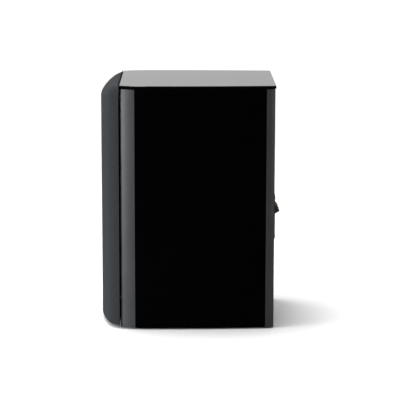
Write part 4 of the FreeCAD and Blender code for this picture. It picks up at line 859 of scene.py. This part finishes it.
class SPEAKER_OT_terminals(bpy.types.Operator):
    """Finishes on the terminal cup and its binding posts"""
    bl_idname = "speaker.terminals"
    bl_label = "Terminals"

    def execute(self, context):
        cover(moulded("textured_black_abs_cup", "141517", "1b1c1e", 0.48, 0.6, 1.1, 0.03),
              "terminal_cup", "post_bushes")
        cover(bright_metal("gold_flashed_brass", "c79a3c", "e2bb62", 0.18, 0.3),
              "post_stems", "clamp_washer_red", "clamp_washer_black")
        # Polycarbonate, tinted in the pellet and moulded clear: light goes in a little way and
        # glows back.
        cover(moulded("tinted_red_polycarbonate", "7e1511", "931c16", 0.18, 0.28, 2.0, 0.004,
                      subsurface_weight=0.08, coat_weight=0.3, coat_roughness=0.1), "post_knob_red")
        cover(moulded("smoked_polycarbonate", "363532", "3f3e3b", 0.22, 0.32, 2.0, 0.004,
                      coat_weight=0.3, coat_roughness=0.1), "post_knob_black")
        return {"FINISHED"}


def coil_tree():
    """A flat-ended coil at each point: wire wound outside, inside and in a spiral on both ends."""
    tree, source = geometry_tree("wire_coils", {
        "Outer radius": 0.017, "Inner radius": 0.007, "Coil height": 0.018,
        "Wire diameter": 0.0012})
    size = {output.name: output for output in source.outputs}
    for name, operation, first, second in (
            ("Wire radius", "MULTIPLY", "Wire diameter", 0.5),
            ("Outside", "SUBTRACT", "Outer radius", "Wire radius"),
            ("Inside", "ADD", "Inner radius", "Wire radius"),
            ("Climb", "SUBTRACT", "Coil height", "Wire diameter"),
            ("Wall", "SUBTRACT", "Outside", "Inside"),
            ("Layers", "DIVIDE", "Wall", "Wire diameter"),
            ("Turns", "DIVIDE", "Climb", "Wire diameter"),
            ("Top", "SUBTRACT", "Coil height", "Wire radius")):
        size[name] = add_node(tree, "ShaderNodeMath",
                              {0: size.get(first, first), 1: size.get(second, second)},
                              operation=operation).outputs[0]
    profile = add_node(tree, "GeometryNodeCurvePrimitiveCircle",
                       {"Resolution": 6, "Radius": size["Wire radius"]})
    whole = add_node(tree, "GeometryNodeJoinGeometry")
    for first, last, rounds, rise, base in (
            ("Outside", "Outside", "Turns", size["Climb"], "Wire radius"),
            ("Inside", "Inside", "Turns", size["Climb"], "Wire radius"),
            ("Inside", "Outside", "Layers", 0.0, "Wire radius"),
            ("Inside", "Outside", "Layers", 0.0, "Top")):
        spiral = add_node(tree, "GeometryNodeCurveSpiral",
                          {"Resolution": 32, "Height": rise, "Rotations": size[rounds],
                           "Start Radius": size[first], "End Radius": size[last]})
        tube = add_node(tree, "GeometryNodeCurveToMesh",
                        {"Fill Caps": True, "Curve": spiral.outputs["Curve"],
                         "Profile Curve": profile.outputs["Curve"]})
        lift = add_node(tree, "ShaderNodeCombineXYZ", {"Z": size[base]})
        moved = add_node(tree, "GeometryNodeTransform",
                         {"Geometry": tube.outputs["Mesh"], "Translation": lift.outputs[0]})
        tree.links.new(moved.outputs["Geometry"], whole.inputs["Geometry"])
    placed = add_node(tree, "GeometryNodeInstanceOnPoints",
                      {"Points": source.outputs["Geometry"],
                       "Instance": whole.outputs["Geometry"]})
    return finish_tree(tree, source, placed.outputs["Instances"])


class SPEAKER_OT_crossover(bpy.types.Operator):
    """The crossover's wound coils, and finishes on the board and its parts"""
    bl_idname = "speaker.crossover"
    bl_label = "Crossover"

    def execute(self, context):
        sizes = context.scene.coil_settings
        # Enamelled copper wire: orange-brown metal under a clear hard varnish.
        copper = bright_metal("enamelled_copper_wire", "a4562a", "c97842", 0.25, 0.36)
        coils = islands("crossover_coils")
        points = bpy.data.meshes.new("coil_points")
        points.from_pydata([[*(c.min(0) + c.max(0))[:2] / 2, c[:, 2].min()] for c in coils], [], [])
        first = coils[0]
        middle = (first.min(0) + first.max(0)) / 2
        radial = np.hypot(first[:, 0] - middle[0], first[:, 1] - middle[1])
        mesh = grown(coil_tree(), points, "crossover_windings", copper, {
            "Outer radius": float(radial.max()), "Inner radius": float(radial.min()),
            "Coil height": float(np.ptp(first[:, 2])), "Wire diameter": sizes.wire})
        new_piece("crossover_windings", mesh, "cabinet", ["crossover_coils"])
        cover(circuit_board(), "crossover_board")
        cover(moulded("white_nylon_standoffs", "c9c7bd", "d8d6cc", 0.4, 0.5, 0.8, 0.01),
              "board_standoffs")
        cover(moulded("polyester_film_capacitor", "8d2a1c", "a33423", 0.3, 0.4, 2.5, 0.01),
              "capacitors")
        # The resistors' cast cement is as dull and dusty as rubber, so it shares that finish.
        cover(rubber("white_cement_resistor", "c6c2b4", "d8d4c7", 0.8, 0.92, 1.0, 0.08),
              "resistors")
        cover(paired_insulation(), "input_leads", "woofer_leads", "tweeter_leads")
        return {"FINISHED"}


class SPEAKER_OT_stage(bpy.types.Operator):
    """Pale floor, soft studio light and the camera"""
    bl_idname = "speaker.stage"
    bl_label = "Stage"

    def execute(self, context):
        sizes = context.scene.stage_settings
        scene = context.scene
        scene.view_settings.view_transform = "Standard"

        floor_radii, floor_sides = (1.6, 1.2, 0.9, 0.6, 0.3, 0.001), 64
        ring = [[(radius * math.cos(a), radius * math.sin(a), 0.0)
                 for a in np.linspace(0, 2 * math.pi, floor_sides + 1)[:-1]]
                for radius in floor_radii]
        floor = bpy.data.objects.new("floor", grid_mesh("floor", ring, closed=True))
        scene.collection.objects.link(floor)
        # Seamless background paper: matt white, with a cast so faint that it reads as flat.
        paper = new_look("matt_white_studio_paper", roughness=1.0, specular_ior_level=0.0)
        floor.data.materials.append(dress(paper, (300.0, 3.0), "f8f8f8", "fafafa"))
        floor.visible_glossy = False

        world = bpy.data.worlds.new("white_room")
        scene.world = world
        world.use_nodes = True
        tree = world.node_tree
        tree.nodes.clear()
        way = add_node(tree, "ShaderNodeTexCoord").outputs["Generated"]
        parts = add_node(tree, "ShaderNodeSeparateXYZ", {"Vector": way}).outputs
        rays = add_node(tree, "ShaderNodeLightPath").outputs
        # The room is lit above the floor, falls off towards the camera, is brighter in front of
        # the grille than behind the speaker, and falls more strongly on matt things.
        bright = 1.0
        for given, start, end, first, last in (
                (parts["Z"], -0.01, 0.02, 0.0, 1.0),
                (parts["X"], 0.3, 0.95, sizes.sky, sizes.dusk),
                (parts["Y"], -1.0, 1.0, 1.45, 0.45),
                (rays["Is Diffuse Ray"], 0.0, 1.0, 1.0, sizes.fill)):
            level = add_node(tree, "ShaderNodeMapRange",
                             {"Value": given, "From Min": start, "From Max": end,
                              "To Min": first, "To Max": last}).outputs["Result"]
            bright = add_node(tree, "ShaderNodeMath", {0: bright, 1: level},
                              operation="MULTIPLY").outputs[0]
        white, seen_level = (1, 1, 1, 1), 1.05
        room = add_node(tree, "ShaderNodeBackground", {"Color": white, "Strength": bright})
        seen = add_node(tree, "ShaderNodeBackground", {"Color": white, "Strength": seen_level})
        mixed = add_node(tree, "ShaderNodeMixShader",
                         {0: rays["Is Camera Ray"], 1: room.outputs[0], 2: seen.outputs[0]})
        add_node(tree, "ShaderNodeOutputWorld", {"Surface": mixed.outputs[0]})

        target = Vector((0, 0, 0.15))  # the middle of the speaker, which the lamps face
        for name, power, spot, across, up in (
                ("top_softbox", sizes.above, (-0.1, -0.25, 2.3), 0.8, 0.8),
                ("front_softbox", sizes.key, (1.0, -2.2, 0.3), 0.9, 0.56),
                ("rear_softbox", sizes.rear, (1.3, 2.2, 0.28), 0.8, 0.5)):
            light = bpy.data.lights.new(name, "AREA")
            light.shape = "RECTANGLE"
            light.size, light.size_y, light.energy = across, up, power
            lamp = bpy.data.objects.new(name, light)
            lamp.location = spot
            lamp.rotation_euler = (target - Vector(spot)).to_track_quat("-Z", "Y").to_euler()
            lamp.visible_camera = False
            scene.collection.objects.link(lamp)

        camera = bpy.data.cameras.new("camera")
        camera.lens, camera.sensor_width, camera.shift_x = sizes.lens, 36.0, sizes.shift
        eye = bpy.data.objects.new("camera", camera)
        near_side, aside = 0.1, -0.010
        eye.location = (near_side + sizes.distance, aside, sizes.height)
        eye.rotation_euler = (math.pi / 2 - sizes.pitch, 0, math.pi / 2)
        scene.collection.objects.link(eye)
        scene.camera = eye
        return {"FINISHED"}


PIECES = (SPEAKER_OT_stage, SPEAKER_OT_cabinet, SPEAKER_OT_grille_cloth,
          SPEAKER_OT_grille_frame, SPEAKER_OT_damping, SPEAKER_OT_screws, SPEAKER_OT_woofer,
          SPEAKER_OT_tweeter, SPEAKER_OT_port, SPEAKER_OT_terminals, SPEAKER_OT_crossover)
SETTINGS = {"cloth_settings": ClothSettings, "foam_settings": FoamSettings,
            "screw_settings": ScrewSettings, "coil_settings": CoilSettings,
            "stage_settings": StageSettings}


class SPEAKER_PT_panel(bpy.types.Panel):
    """Lists the speaker's sizes and pieces"""
    bl_label = "Bookshelf Speaker"
    bl_idname = "SPEAKER_PT_panel"
    bl_space_type = "VIEW_3D"
    bl_region_type = "UI"
    bl_category = "Speaker"

    def draw(self, context):
        for name, group in SETTINGS.items():
            box = self.layout.box()
            box.label(text=group.__doc__)
            for field in group.__annotations__:
                box.prop(getattr(context.scene, name), field)
        for piece in PIECES:
            self.layout.operator(piece.bl_idname)


def register():
    for item in (*SETTINGS.values(), *PIECES, SPEAKER_PT_panel):
        bpy.utils.register_class(item)
    for name, group in SETTINGS.items():
        setattr(bpy.types.Scene, name, PointerProperty(type=group))


def unregister():
    for name in SETTINGS:
        delattr(bpy.types.Scene, name)
    for item in reversed((*SETTINGS.values(), *PIECES, SPEAKER_PT_panel)):
        bpy.utils.unregister_class(item)


def main():
    register()
    for piece in PIECES:
        group, name = piece.bl_idname.split(".")
        getattr(getattr(bpy.ops, group), name)()


if __name__ == "__main__":
    main()
